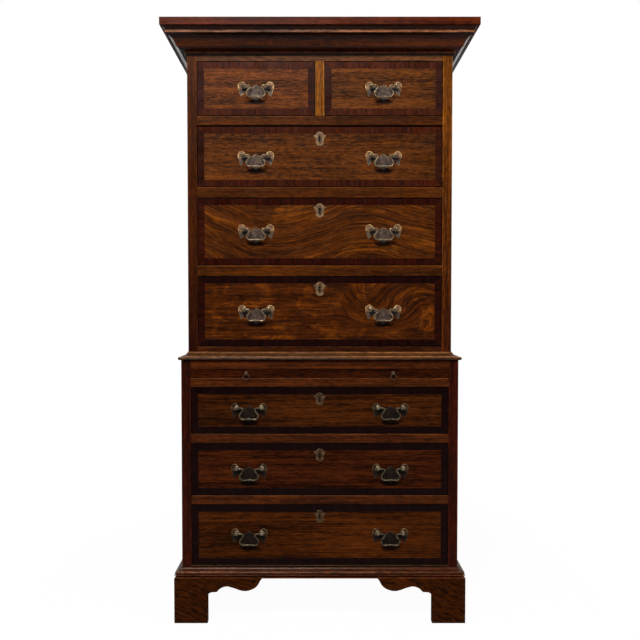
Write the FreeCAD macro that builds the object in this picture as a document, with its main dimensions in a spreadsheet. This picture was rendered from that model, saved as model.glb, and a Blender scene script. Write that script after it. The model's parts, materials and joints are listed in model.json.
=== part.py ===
import FreeCAD, Part
import math
import os
import re
from FreeCAD import Rotation, Vector

# Chest on chest, in oak with mahogany crossbanding. Millimetres, +Z up, the front faces -Y.
# Origin: on the floor, in the middle of the whole piece's width and depth.

SIZES = {
    # the two cases
    "lower_width": 838,
    "lower_depth": 490,
    "setback": 19,
    "side_board": 20,
    "stile_width": 29,
    "stile_depth": 22,
    "shelf_board": 20,
    "back_plank": 12,
    "back_rebate": 10,
    "rail_depth": 60,
    # heights, from the floor up
    "foot_height": 137,
    "base_ledge": 13,
    "lower_rail": 27.2,
    "low_drawer_opening": 187,
    "middle_drawer_opening": 160.5,
    "high_drawer_opening": 143,
    "slide_opening": 26.9,
    "lower_top_rail": 27,
    "upper_bottom_rail": 39.5,
    "upper_rail": 31.8,
    "fifth_drawer_opening": 214.9,
    "fourth_drawer_opening": 205,
    "third_drawer_opening": 186,
    "short_drawer_rail": 27.5,
    "short_drawer_opening": 163.5,
    "top_rail_show": 17,
    "divider_width": 27,
    # cornice
    "cornice_height": 87,
    "cornice_reach": 68,
    "fascia_height": 21.5,
    "fascia_band": 2,
    "cornice_lip": 6,
    "fillet_height": 7,
    "hollow_height": 36,
    "hollow_reach": 40,
    "bead_radius": 3.5,
    "bead_quirk": 3,
    "hollow_set_out": 9,
    "hollow_set_up": 1,
    "fillet_reach": 2,
    # waist moulding
    "waist_height": 24,
    "waist_overhang": 8.5,
    "waist_nose": 10,
    "waist_fillet": 5,
    # base moulding
    "base_reach": 21,
    "base_band": 9.5,
    "base_top_gap": 3,
    "base_groove": 3,
    "base_bead": 7.5,
    "base_bead_in": 2.5,
    "base_top_step": 3,
    "base_under": 30,
    # bracket feet
    "bracket_board": 20,
    "bracket_length": 266,
    "side_bracket_length": 222,
    "foot_leg": 101,
    "glue_block": 40,
    "back_bracket_round": 40,
    # runners, guides, dust boards
    "runner_width": 50,
    "dust_board": 8,
    "dust_groove": 8,
    "guide_height": 25,
    "kicker_height": 20,
    # drawers
    "front_board": 20,
    "front_gap": 1,
    "drawer_lift": 0.3,
    "top_gap": 1.5,
    "third_top_gap": 4.5,
    "lining_board": 10,
    "front_lap": 6,
    "tail_pitch": 56,
    "tail_share": 0.62,
    "tail_flare": 3,
    "bottom_board": 7,
    "bottom_rise": 8,
    "bottom_groove": 4,
    "back_drop": 8,
    "drawer_back_gap": 12,
    "band_width": 21,
    "band_board": 1.6,
    # brushing slide
    "slide_board": 19,
    "slide_recess": 1.5,
    "slide_lip_depth": 22,
    "slide_cleat": 60,
    "slide_length": 400,
    "slide_gap": 0.8,
    "slide_pull_offset": 222,
    # handles
    "upper_handle_offset": 193,
    "lower_handle_offset": 214,
    "short_handle_rise": 6,
    "third_handle_rise": 1,
    "fourth_handle_rise": 8,
    "fifth_handle_rise": 6,
    "high_handle_rise": 8.5,
    "middle_handle_rise": 3,
    "low_handle_rise": 6,
    "post_offset": 38.2,
    "plate_half": 52.5,
    "plate_peak": 5,
    "plate_drop": 46,
    "lobe_radius": 12,
    "lobe_centre_rise": 1,
    "plate_board": 1.6,
    "stand_off": 12,
    "pin_radius": 1.6,
    "pin_clearance": 0.06,
    "pin_depth": 3,
    "pin_end_gap": 0.5,
    "bail_radius": 2.2,
    "bail_drop": 36,
    "bail_shoulder": 10.5,
    "bail_shoulder_half": 28.5,
    "bail_neck_half": 18,
    "post_radius": 4.8,
    "post_neck": 3,
    "bolt_half": 2.4,
    "bolt_clearance": 0.2,
    "nut_width": 11,
    "nut_height": 5,
    # drop rings of the slide
    "ring_drop": 29,
    "ring_half_width": 10.5,
    "ring_radius": 1.5,
    "ring_side_gap": 0.5,
    # escutcheons and locks
    "escutcheon_drop": 15.5,
    "escutcheon_board": 1.2,
    "escutcheon_half": 20.5,
    "escutcheon_height": 43,
    "key_drop": 17,
    "key_radius": 2.6,
    "key_slot": 2.6,
    "key_height": 13,
    "lock_width": 62,
    "lock_below_key": 20,
    "lock_board": 11,
}

PLANKS_IN_A_BACK = 4
ARC_CHORDS = 4
ROUND_FLATS = 6

doc = FreeCAD.newDocument("ChestOnChest")
sheet = doc.addObject("Spreadsheet::Sheet", "Sizes")
for row, (alias, number) in enumerate(SIZES.items(), start=1):
    sheet.set(f"A{row}", alias)
    sheet.set(f"B{row}", str(number))
    sheet.setAlias(f"B{row}", alias)
doc.recompute()

FORMULAS = {}
NODES = []


def size(alias):
    """A size read back from the sheet."""
    return float(sheet.get(alias))


def expand(formula):
    """Write a formula with the sheet's own cell names in it."""

    def swap(match):
        word = match.group(0)
        if word in FORMULAS:
            return FORMULAS[word]
        return f"Sizes.{word}" if word in SIZES else word

    return re.sub(r"\b[a-z][a-z_]*\b", swap, str(formula))


def name_formula(name, formula):
    FORMULAS[name] = f"({expand(formula)})"


def bind(item, **formulas):
    for name, formula in formulas.items():
        item.setExpression(name, expand(formula))
    return item


def put(item, x="0", y="0", z="0", turn=None):
    """Place a piece by formulas, turned first where a turn is given."""
    if turn is not None:
        item.Placement.Rotation = turn
    for axis, formula in zip("xyz", (x, y, z)):
        item.setExpression(f"Placement.Base.{axis}", expand(formula))
    return item


def add(kind, label):
    item = doc.addObject(kind, label)
    item.Label = label
    return item


def board(label, x, y, z):
    """A board between two planes along each axis, each given as (low, high) formulas."""
    item = add("Part::Box", label)
    bind(
        item,
        Length=f"({x[1]}) - ({x[0]})",
        Width=f"({y[1]}) - ({y[0]})",
        Height=f"({z[1]}) - ({z[0]})",
    )
    return put(item, x[0], y[0], z[0])


def cut(label, base, *tools):
    item = add("Part::Cut", label)
    item.Base = base
    item.Tool = tools[0] if len(tools) == 1 else gather(label + "_cutters", tools)
    return item


def fuse(label, *pieces):
    item = add("Part::MultiFuse", label)
    item.Shapes = list(pieces)
    return item


def common(label, base, tool):
    item = add("Part::Common", label)
    item.Base = base
    item.Tool = tool
    return item


def mirror(label, source, normal=Vector(1, 0, 0)):
    item = add("Part::Mirroring", label)
    item.Source = source
    item.Normal = normal
    return item


def gather(label, pieces, x="0", y="0", z="0", turn=None):
    """Several pieces, or a copy of one, moved together."""
    item = add("Part::Compound", label)
    item.Links = list(pieces)
    return put(item, x, y, z, turn)


def node(label, pieces, x="0", y="0", z="0"):
    """A named sub-part of the chest, written out at the end."""
    item = gather(label, pieces, x, y, z)
    NODES.append(item)
    return item


def shaped(label, shape):
    item = add("Part::Feature", label)
    item.Shape = shape
    return item


def wedge(label, y, low_x, low_z, high_x, high_z):
    """A block whose X and Z spans change from its low Y plane to its high Y plane."""
    item = add("Part::Wedge", label)
    return bind(
        item,
        Ymin=y[0],
        Ymax=y[1],
        Xmin=low_x[0],
        Xmax=low_x[1],
        Zmin=low_z[0],
        Zmax=low_z[1],
        X2min=high_x[0],
        X2max=high_x[1],
        Z2min=high_z[0],
        Z2max=high_z[1],
    )


def prism(label, radius, length, turn=None, x="0", y="0", z="0"):
    """A round bar drawn with flats, along its own Z."""
    item = add("Part::Prism", label)
    item.Polygon = ROUND_FLATS
    bind(item, Circumradius=radius, Height=length)
    return put(item, x, y, z, turn)


TO_BACK = Rotation(Vector(1, 0, 0), -90)
TO_FRONT = Rotation(Vector(1, 0, 0), 90)
TO_RIGHT = Rotation(Vector(0, 1, 0), 90)
HALF_TURN = Rotation(Vector(0, 1, 0), 180)

# ---- Planes that everything is set out from ----

name_formula("upper_width", "(lower_width - 2 * setback)")
name_formula("case_back", "(lower_depth + cornice_reach - setback) / 2")
name_formula("lower_front", "case_back - lower_depth")
name_formula("upper_front", "lower_front + setback")
name_formula("back_inside", "case_back - back_plank")
name_formula("case_bottom", "foot_height + base_ledge")

name_formula("low_sill", "case_bottom + shelf_board")
name_formula("low_head", "low_sill + low_drawer_opening")
name_formula("middle_sill", "low_head + lower_rail")
name_formula("middle_head", "middle_sill + middle_drawer_opening")
name_formula("high_sill", "middle_head + lower_rail")
name_formula("high_head", "high_sill + high_drawer_opening")
name_formula("slide_sill", "high_head + lower_rail")
name_formula("slide_head", "slide_sill + slide_opening")
name_formula("lower_top", "slide_head + lower_top_rail")

name_formula("fifth_sill", "lower_top + upper_bottom_rail")
name_formula("fifth_head", "fifth_sill + fifth_drawer_opening")
name_formula("fourth_sill", "fifth_head + upper_rail")
name_formula("fourth_head", "fourth_sill + fourth_drawer_opening")
name_formula("third_sill", "fourth_head + upper_rail")
name_formula("third_head", "third_sill + third_drawer_opening")
name_formula("short_sill", "third_head + short_drawer_rail")
name_formula("short_head", "short_sill + short_drawer_opening")
name_formula("cornice_bottom", "short_head + top_rail_show")
name_formula("cornice_top", "cornice_bottom + cornice_height")
name_formula("upper_top", "cornice_top - cornice_lip")


# ---- The two cases ----


class Case:
    """One case: side boards, front frame, inner boards and back planks."""

    def __init__(self, name, width, front, bottom, top):
        self.name = name
        self.front = front
        self.bottom = bottom
        self.top = top
        self.half = f"{width} / 2"
        self.inner = f"({width} / 2 - side_board)"
        self.opening = f"({width} / 2 - stile_width)"
        self.frame = []
        self.boards = []
        self.back_planks = self.make_back(width)
        self.sides = self.make_sides()
        self.stiles = self.make_stiles()

    def label(self, piece):
        return f"{self.name}_{piece}"

    def make_back(self, width):
        half = f"({width} / 2 - side_board + back_rebate)"
        tall = f"(({self.top}) - ({self.bottom}))"
        planks = []
        for index in range(PLANKS_IN_A_BACK):
            low = f"{self.bottom} + {tall} * {index} / {PLANKS_IN_A_BACK}"
            high = f"{self.bottom} + {tall} * {index + 1} / {PLANKS_IN_A_BACK}"
            plank = board(
                self.label(f"back_plank_{index + 1}"),
                (f"-{half}", half),
                ("back_inside", "case_back"),
                (low, high),
            )
            planks.append(plank)
        return planks

    def make_sides(self):
        left = board(
            self.label("left_side_blank"),
            (f"-({self.half})", f"-{self.inner}"),
            (f"{self.front} + stile_depth", "case_back"),
            (self.bottom, self.top),
        )
        rebate = board(
            self.label("back_rebate_cutter"),
            (f"-{self.inner} - back_rebate", self.inner),
            ("back_inside", "case_back"),
            (self.bottom, self.top),
        )
        left_side = cut(self.label("left_side"), left, rebate)
        return [left_side, mirror(self.label("right_side"), left_side)]

    def make_stiles(self):
        left = board(
            self.label("left_stile"),
            (f"-({self.half})", f"-{self.opening}"),
            (self.front, f"{self.front} + stile_depth"),
            (self.bottom, self.top),
        )
        stiles = [left, mirror(self.label("right_stile"), left)]
        self.frame += stiles
        return stiles

    def face_board(self, piece, low, high):
        """A front board that fits between the stiles only."""
        item = board(
            self.label(piece),
            (f"-{self.opening}", self.opening),
            (self.front, f"{self.front} + stile_depth"),
            (low, high),
        )
        self.frame.append(item)
        return item

    def shelf(self, piece, low, high, start="stile_depth"):
        """A full-depth board between the side boards."""
        item = board(
            self.label(piece),
            (f"-{self.inner}", self.inner),
            (f"{self.front} + {start}", "back_inside"),
            (low, high),
        )
        self.boards.append(item)
        return item

    def level(self, piece, low, high, with_centre=False):
        """A front rail notched round the stiles, its runners, dust board and drawer guides."""
        middle = f"(({low}) + ({high})) / 2"
        rail_back = f"({self.front} + rail_depth)"
        dust_half = f"({self.inner} - runner_width + dust_groove)"
        dust = board(
            self.label(f"{piece}_dust_board"),
            (f"-{dust_half}", dust_half),
            (f"{rail_back} - dust_groove", "back_inside"),
            (f"{middle} - dust_board / 2", f"{middle} + dust_board / 2"),
        )
        rail = board(
            self.label(f"{piece}_blank"),
            (f"-{self.inner}", self.inner),
            (self.front, rail_back),
            (low, high),
        )
        self.frame.append(cut(self.label(piece), rail, *self.stiles, dust))
        runner = board(
            self.label(f"{piece}_runner_blank"),
            (f"-{self.inner}", f"-{self.inner} + runner_width"),
            (rail_back, "back_inside"),
            (low, high),
        )
        left = cut(self.label(f"{piece}_left_runner"), runner, dust)
        self.boards += [left, mirror(self.label(f"{piece}_right_runner"), left)]
        if with_centre:
            centre = board(
                self.label(f"{piece}_centre_runner_blank"),
                ("-runner_width / 2", "runner_width / 2"),
                (rail_back, "back_inside"),
                (low, high),
            )
            self.boards.append(cut(self.label(f"{piece}_centre_runner"), centre, dust))
        self.boards.append(dust)
        self.guides(piece, high)

    def guides(self, piece, low):
        """Strips that keep a drawer straight, filling out the side boards to the stiles."""
        left = board(
            self.label(f"{piece}_left_guide"),
            (f"-{self.inner}", f"-{self.opening}"),
            (f"{self.front} + stile_depth", "back_inside"),
            (low, f"{low} + guide_height"),
        )
        self.boards += [left, mirror(self.label(f"{piece}_right_guide"), left)]


lower = Case("lower", "lower_width", "lower_front", "case_bottom", "lower_top")
lower_bottom = board(
    "lower_bottom_blank",
    ("-lower_width / 2 + side_board", "lower_width / 2 - side_board"),
    ("lower_front", "back_inside"),
    ("case_bottom", "low_sill"),
)
lower.boards.append(cut("lower_bottom_board", lower_bottom, *lower.stiles))
lower.guides("low", "low_sill")
lower.level("middle_rail", "low_head", "middle_sill")
lower.level("high_rail", "middle_head", "high_sill")
lower.level("slide_rail", "high_head", "slide_sill")
lower.face_board("top_rail", "slide_head", "lower_top")
lower.shelf("top_board", "lower_top - shelf_board", "lower_top")

upper = Case("upper", "upper_width", "upper_front", "lower_top", "upper_top")
upper.face_board("bottom_rail", "lower_top", "fifth_sill")
upper.shelf("bottom_board", "fifth_sill - shelf_board", "fifth_sill")
upper.guides("fifth", "fifth_sill")
upper.level("fourth_rail", "fifth_head", "fourth_sill")
upper.level("third_rail", "fourth_head", "third_sill")
upper.level("short_rail", "third_head", "short_sill", with_centre=True)
upper.face_board("top_rail", "short_head", "upper_top")
upper.shelf("top_board", "upper_top - shelf_board", "upper_top")
upper.frame.append(
    board(
        "short_drawer_divider",
        ("-divider_width / 2", "divider_width / 2"),
        ("upper_front", "upper_front + rail_depth"),
        ("short_sill", "short_head"),
    )
)
upper.boards.append(
    board(
        "short_drawer_centre_guide",
        ("-divider_width / 2", "divider_width / 2"),
        ("upper_front + rail_depth", "back_inside"),
        ("short_sill", "short_sill + guide_height"),
    )
)
name_formula("kicker_start", "upper_front + stile_depth")
left_kicker = board(
    "left_kicker",
    ("-upper_width / 2 + side_board", "-upper_width / 2 + side_board + runner_width"),
    ("kicker_start", "back_inside"),
    ("short_head", "short_head + kicker_height"),
)
centre_kicker = board(
    "centre_kicker",
    ("-runner_width / 2", "runner_width / 2"),
    ("kicker_start", "back_inside"),
    ("short_head", "short_head + kicker_height"),
)
upper.boards += [left_kicker, mirror("right_kicker", left_kicker), centre_kicker]
name_formula("slide_front", "lower_front + slide_recess")
name_formula("slide_low", "slide_sill + drawer_lift")
name_formula("slide_lip_back", "slide_front + slide_lip_depth")
slide_kicker = board(
    "left_slide_kicker",
    ("-lower_width / 2 + stile_width", "-lower_width / 2 + side_board + runner_width"),
    ("slide_lip_back + slide_gap", "back_inside"),
    ("slide_low + slide_board + slide_gap", "lower_top - shelf_board"),
)
lower.boards += [slide_kicker, mirror("right_slide_kicker", slide_kicker)]

node("upper_case_sides", upper.sides)
node("lower_case_sides", lower.sides)
node("upper_case_front_frame", upper.frame)
node("lower_case_front_frame", lower.frame)
node("upper_case_inner_boards", upper.boards)
node("lower_case_inner_boards", lower.boards)
node("case_backs", upper.back_planks + lower.back_planks)


# ---- Mouldings ----


def arc(start, through, end):
    """The points along a round stretch, from start to end through a middle point."""
    curve = Part.Arc(*(Vector(*point, 0) for point in (start, through, end)))
    return [(spot.x, spot.y) for spot in curve.discretize(ARC_CHORDS + 1)]


def flat_face(stretches):
    """A face in the XY plane inside an outline made of points and round stretches."""
    corners = []
    for stretch in stretches:
        corners += stretch if isinstance(stretch, list) else [stretch]
    ring = []
    for corner in corners:
        if not ring or math.dist(ring[-1], corner) > 1e-6:
            ring.append(corner)
    spots = [Vector(x, y, 0) for x, y in ring]
    return Part.Face(Part.makePolygon(spots + spots[:1]))


def profile_bar(label, stretches, length):
    """A straight moulding: its section lies in (outward, up), its length runs along X."""
    face = flat_face(stretches)
    face.Placement.Rotation = Rotation(Vector(0, -1, 0), Vector(0, 0, 1), Vector(-1, 0, 0), "XYZ")
    face.Placement.Base = Vector(-length / 2, 0, 0)
    return shaped(label, face.extrude(Vector(length, 0, 0)))


def mitred_frame(label, stretches, half_width, front, bottom, reach, inside, height):
    """Front moulding and two returns, mitred at the corners and square at the back."""
    stock = 2 * size("lower_width")
    front_stock = profile_bar(f"{label}_stock", stretches, stock)
    front_bar = gather(f"{label}_front_bar", [front_stock], "0", front, bottom)
    outer = f"({half_width} + {reach})"
    inner = f"({half_width} - ({inside}))"
    front_block = wedge(
        f"{label}_front_mitres",
        (f"{front} - {reach}", f"{front} + {inside}"),
        (f"-{outer}", outer),
        (bottom, f"{bottom} + {height}"),
        (f"-{inner}", inner),
        (bottom, f"{bottom} + {height}"),
    )
    side_turn = Rotation(Vector(0, 0, 1), -90)
    side_bar = gather(f"{label}_side_bar", [front_stock], f"-({half_width})", "0", bottom, side_turn)
    side_block = wedge(
        f"{label}_side_mitre",
        (inner, outer),
        (f"{front} + {inside}", "case_back"),
        ("0", height),
        (f"{front} - {reach}", "case_back"),
        ("0", height),
    )
    put(side_block, "0", "0", bottom, Rotation(Vector(0, 0, 1), 90))
    left = common(f"{label}_left_return", side_bar, side_block)
    return [
        common(f"{label}_front", front_bar, front_block),
        left,
        mirror(f"{label}_right_return", left),
    ]


def cornice_section():
    """Bead, swell that turns into a hollow, fillet, small hollow and the fascia band's flat."""
    bead = size("bead_radius")
    bead_low = size("bead_quirk")
    bead_high = bead_low + 2 * bead
    hollow_base = bead + size("hollow_set_out")
    hollow_low = bead_high + size("hollow_set_up")
    hollow_high = hollow_low + size("hollow_height")
    hollow_out = hollow_base + size("hollow_reach")
    fillet_out = hollow_out + size("fillet_reach")
    fillet_high = hollow_high + size("fillet_height")
    cove_out = size("cornice_reach") - size("fascia_band")
    cove_high = size("cornice_height") - size("fascia_height")
    top = size("cornice_height")

    def wave(share, rise):
        return (
            hollow_base + share * (hollow_out - hollow_base),
            hollow_low + rise * (hollow_high - hollow_low),
        )

    turn = wave(0.42, 0.38)
    cove_mid = (
        fillet_out + 0.35 * (cove_out - fillet_out),
        fillet_high + 0.65 * (cove_high - fillet_high),
    )
    return [
        (0, 0),
        (bead, 0),
        arc((bead, bead_low), (2 * bead, bead_low + bead), (bead, bead_high)),
        (bead, hollow_low),
        arc((hollow_base, hollow_low), wave(0.21, 0.07), turn),
        arc(turn, wave(0.65, 0.76), (hollow_out, hollow_high)),
        (fillet_out, hollow_high),
        arc((fillet_out, fillet_high), cove_mid, (cove_out, cove_high)),
        (cove_out, top),
        (0, top),
    ]


def fascia_section():
    """The crossbanded strip glued to the front of the cornice's top."""
    back = size("cornice_reach") - size("fascia_band")
    front = size("cornice_reach")
    low = size("cornice_height") - size("fascia_height")
    top = size("cornice_height")
    return [(back, low), (front, low), (front, top), (back, top)]


def waist_section():
    """Rounded nose, fillet and a hollow that rises to the upper case."""
    reach = size("setback") + size("waist_overhang")
    nose = size("waist_nose")
    top = size("waist_height")
    fillet = size("waist_fillet")
    shoulder = reach - nose / 2 - fillet
    lip = fillet / 2
    return [
        (0, 0),
        arc((reach - nose / 2, 0), (reach, nose / 2), (reach - nose / 2, nose)),
        (shoulder, nose),
        arc(
            (shoulder, nose + lip),
            (lip + 0.3 * (shoulder - lip), nose + lip + 0.45 * (top - nose - 2 * lip)),
            (lip, top - lip),
        ),
        (lip, top),
        (0, top),
    ]


def base_section():
    """Flat band below, a groove, a bead and a hollow up to the case; a ledge carries the case."""
    reach = size("base_reach")
    band = size("base_band")
    ledge = size("base_ledge")
    top = ledge + size("shelf_board") - size("base_top_gap")
    under = -size("base_under")
    groove = size("base_groove")
    bead = size("base_bead")
    bead_out = reach - size("base_bead_in")
    bead_back = bead_out - bead / 2
    bead_low = band + groove
    bead_high = bead_low + bead
    step = size("base_top_step")
    hollow_out = bead_back - step
    hollow_top = top - step

    def spot(share, rise):
        return (step + share * (hollow_out - step), bead_high + rise * (hollow_top - bead_high))

    return [
        (under, 0),
        (reach, 0),
        (reach, band),
        (bead_back, band),
        (bead_back, bead_low),
        arc((bead_back, bead_low), (bead_out, bead_low + bead / 2), (bead_back, bead_high)),
        (hollow_out, bead_high),
        arc((hollow_out, bead_high), spot(0.4, 0.36), (step, hollow_top)),
        (step, top),
        (0, top),
        (0, ledge),
        (under, ledge),
    ]


name_formula("waist_reach", "setback + waist_overhang")
cornice = mitred_frame(
    "cornice",
    cornice_section(),
    "upper_width / 2",
    "upper_front",
    "cornice_bottom",
    "cornice_reach",
    "0",
    "cornice_height",
)
fascia = mitred_frame(
    "fascia_band_strip",
    fascia_section(),
    "upper_width / 2",
    "upper_front",
    "cornice_bottom",
    "cornice_reach",
    "0",
    "cornice_height",
)
waist = mitred_frame(
    "waist_moulding",
    waist_section(),
    "upper_width / 2",
    "upper_front",
    "lower_top",
    "waist_reach",
    "0",
    "waist_height",
)
base = mitred_frame(
    "base_moulding",
    base_section(),
    "lower_width / 2",
    "lower_front",
    "foot_height",
    "base_reach",
    "base_under",
    "base_ledge + shelf_board",
)
base_back_rail = board(
    "base_back_rail",
    ("-lower_width / 2 + base_under", "lower_width / 2 - base_under"),
    ("case_back - base_under", "case_back"),
    ("foot_height", "case_bottom"),
)
node("cornice", cornice + fascia)
node("waist_and_base_mouldings", waist + base + [base_back_rail])


# ---- Bracket feet ----


def bracket_outline(length):
    """Scrolled bracket: straight leg, small step, arch, drooping lobe, sweep up to its end."""
    leg = size("foot_leg")
    top = size("foot_height")
    spread = length - leg

    def spot(share, rise):
        return (leg + share * spread, rise * top)

    return [
        (0, 0),
        (leg, 0),
        arc(spot(0.01, 0.57), spot(0.03, 0.65), spot(0.07, 0.68)),
        arc(spot(0.17, 0.69), spot(0.24, 0.775), spot(0.34, 0.81)),
        arc(spot(0.34, 0.81), spot(0.44, 0.785), spot(0.53, 0.74)),
        arc(spot(0.53, 0.74), spot(0.67, 0.715), spot(0.81, 0.755)),
        arc(spot(0.81, 0.755), spot(0.89, 0.84), spot(0.94, 0.95)),
        (length, top),
        (0, top),
    ]


def back_bracket_outline():
    """Plain bracket of the back feet, with a quarter-round inner corner."""
    leg = size("foot_leg") - size("bracket_board")
    top = size("foot_height")
    corner = size("back_bracket_round")
    round_in = corner * (1 - math.sqrt(0.5))
    return [
        (0, 0),
        (leg, 0),
        arc((leg, top - corner), (leg + round_in, top - round_in), (leg + corner, top)),
        (0, top),
    ]


def cut_out(stretches, thickness):
    """A flat shape standing in the XZ plane, its front at Y 0, thick towards +Y."""
    upright = flat_face(stretches)
    upright.rotate(Vector(0, 0, 0), Vector(1, 0, 0), 90)
    return upright.extrude(Vector(0, thickness, 0))


name_formula("foot_side", "lower_width / 2 + base_reach")
name_formula("foot_front", "lower_front - base_reach")
name_formula("foot_inside", "foot_side - bracket_board")
scroll = shaped(
    "bracket_blank",
    cut_out(bracket_outline(size("bracket_length")), size("bracket_board")),
)
side_scroll = shaped(
    "side_scroll_blank",
    cut_out(bracket_outline(size("side_bracket_length")), size("bracket_board")),
)
front_bracket = common(
    "front_bracket",
    gather("front_bracket_blank", [scroll], "-foot_side", "foot_front", "0"),
    wedge(
        "front_bracket_mitre",
        ("foot_front", "foot_front + bracket_board"),
        ("-foot_side", "-foot_side + bracket_length"),
        ("0", "foot_height"),
        ("-foot_inside", "-foot_side + bracket_length"),
        ("0", "foot_height"),
    ),
)
side_stock = gather(
    "side_bracket_blank",
    [mirror("side_bracket_stock", side_scroll, Vector(0, 1, 0))],
    "-foot_side",
    "foot_front",
    "0",
    Rotation(Vector(0, 0, 1), 90),
)
side_wedge = wedge(
    "side_bracket_mitre",
    ("foot_inside", "foot_side"),
    ("foot_front + bracket_board", "foot_front + side_bracket_length"),
    ("0", "foot_height"),
    ("foot_front", "foot_front + side_bracket_length"),
    ("0", "foot_height"),
)
put(side_wedge, turn=Rotation(Vector(0, 0, 1), 90))
side_bracket = common("side_bracket", side_stock, side_wedge)
back_side_bracket = gather(
    "back_side_bracket",
    [mirror("back_side_bracket_stock", side_stock, Vector(0, 1, 0))],
    "0",
    "foot_front + case_back",
)
plain = shaped("back_bracket_blank", cut_out(back_bracket_outline(), size("bracket_board")))
back_bracket = gather("back_bracket", [plain], "-foot_inside", "case_back - bracket_board")
front_block = board(
    "front_glue_block",
    ("-foot_inside", "-foot_inside + glue_block"),
    ("foot_front + bracket_board", "foot_front + bracket_board + glue_block"),
    ("bracket_board / 2", "foot_height"),
)
back_block = board(
    "back_glue_block",
    ("-foot_inside", "-foot_inside + glue_block"),
    ("case_back - bracket_board - glue_block", "case_back - bracket_board"),
    ("bracket_board / 2", "foot_height"),
)
left_feet = [front_bracket, side_bracket, back_side_bracket, back_bracket, front_block, back_block]
right_feet = [mirror(f"right_{piece.Label}", piece) for piece in left_feet]
node("bracket_feet", left_feet + right_feet)


# ---- Handles ----


def closed_face(corners):
    ring = [Vector(x, 0, z) for x, z in corners]
    return Part.Face(Part.makePolygon(ring + ring[:1]))


def both_halves(half):
    """Close an outline that starts and ends on the centre line with its mirror image."""
    inner = [(-x, z) for x, z in reversed(half) if x > 0]
    return half + inner


def sampled_arc(centre, radius, first, last, steps):
    """Points along a round stretch in the XZ plane, in degrees."""
    turns = [first + (last - first) * step / steps for step in range(steps + 1)]
    return [
        (
            centre[0] + radius * math.cos(math.radians(turn)),
            centre[1] + radius * math.sin(math.radians(turn)),
        )
        for turn in turns
    ]


def plate_outline():
    """Bat-wing back plate: peak, round lobe over the post, wing tip, notch, bottom point."""
    half, drop, peak = size("plate_half"), size("plate_drop"), size("plate_peak")
    lobe_radius = size("lobe_radius")
    lobe_centre = (half - 0.8 * lobe_radius, size("lobe_centre_rise"))

    def spot(share, fall):
        return (share * half, -fall * drop)

    crest = [(0, peak), spot(0.2, 0.03), spot(0.41, 0.08)]
    lobe = sampled_arc(lobe_centre, lobe_radius, 170, -20, 3)
    wing = [spot(0.97, 0.33), spot(0.89, 0.68), spot(0.69, 0.5)]
    notch = [spot(0.8, 0.27), spot(0.65, 0.12), spot(0.57, 0.17)]
    body = [spot(0.54, 0.5), spot(0.38, 0.75), spot(0.13, 0.84), (0, -drop)]
    return both_halves(crest + lobe + wing + notch + body)


def escutcheon_outline():
    """Shield with a round crown, two shoulder points and a rounded foot, crown at Z 0."""
    half, drop = size("escutcheon_half"), size("escutcheon_height")

    def spot(share, fall):
        return (share * half, -fall * drop)

    crown = [(0, 0), spot(0.24, 0.05), spot(0.58, 0.21)]
    shoulder = [spot(1, 0.27), spot(0.68, 0.51)]
    foot = [spot(0.66, 0.77), spot(0.3, 0.97), (0, -drop)]
    return both_halves(crown + shoulder + foot)


def bar_ring(points, index, radius, flats, closed):
    """The corners of a faceted bar where two of its runs meet."""
    count = len(points)
    here = Vector(points[index][0], 0, points[index][1])
    before = points[(index - 1) % count] if closed or index > 0 else None
    after = points[(index + 1) % count] if closed or index < count - 1 else None
    runs = []
    if before is not None:
        runs.append((here - Vector(before[0], 0, before[1])).normalize())
    if after is not None:
        runs.append((Vector(after[0], 0, after[1]) - here).normalize())
    along = runs[0].add(runs[-1]).normalize()
    across = Vector(along.z, 0, -along.x)
    stretch = 1 / along.dot(runs[0])
    corners = []
    for flat in range(flats):
        turn = math.radians(360 * (flat + 0.5) / flats)
        corner = here + across * (radius * stretch * math.cos(turn))
        corners.append(corner + Vector(0, radius * math.sin(turn), 0))
    return corners


def solid_through(rings, flats, closed):
    """A solid with flat sides through rings of corners, joined up end to end where it is closed."""
    count = len(rings)
    faces = []
    for index in range(count if closed else count - 1):
        low, high = rings[index], rings[(index + 1) % count]
        for flat in range(flats):
            side = (flat + 1) % flats
            loop = [low[flat], low[side], high[side], high[flat], low[flat]]
            faces.append(Part.Face(Part.makePolygon(loop)))
    if not closed:
        for ring in (rings[0], rings[-1]):
            faces.append(Part.Face(Part.makePolygon(ring + ring[:1])))
    solid = Part.Solid(Part.Shell(faces))
    if solid.Volume < 0:
        solid.reverse()
    return solid


def faceted_bar(points, radii, flats, closed=False):
    """A bent bar with flat sides through points in the XZ plane."""
    rings = [bar_ring(points, index, radii[index], flats, closed) for index in range(len(points))]
    return solid_through(rings, flats, closed)


def bail_shape():
    """Swan-neck bail: pins in the posts, necks that turn under, round shoulders, flat grip."""
    post, drop = size("post_offset"), size("bail_drop")
    pin, bar = size("pin_radius"), size("bail_radius")
    pin_root = post - size("post_radius") - size("pin_end_gap")
    neck_half = size("bail_neck_half")
    neck_radius = (pin_root - 2 * bar - neck_half) / 2
    round_radius = size("bail_shoulder")
    shoulder_centre = (size("bail_shoulder_half") - round_radius, -drop + round_radius)
    neck = sampled_arc((neck_half + neck_radius, -neck_radius), neck_radius, 90, 220, 2)
    shoulder = sampled_arc(shoulder_centre, round_radius, 20, -90, 2)
    straight = [(pin_root + size("pin_depth"), 0), (pin_root, 0), (pin_root - bar, 0)]
    half = straight + neck + shoulder
    radii = [pin, pin] + [bar] * (len(half) - 2)
    points = half + [(-x, z) for x, z in reversed(half)]
    return faceted_bar(points, radii + radii[::-1], ROUND_FLATS)


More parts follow.
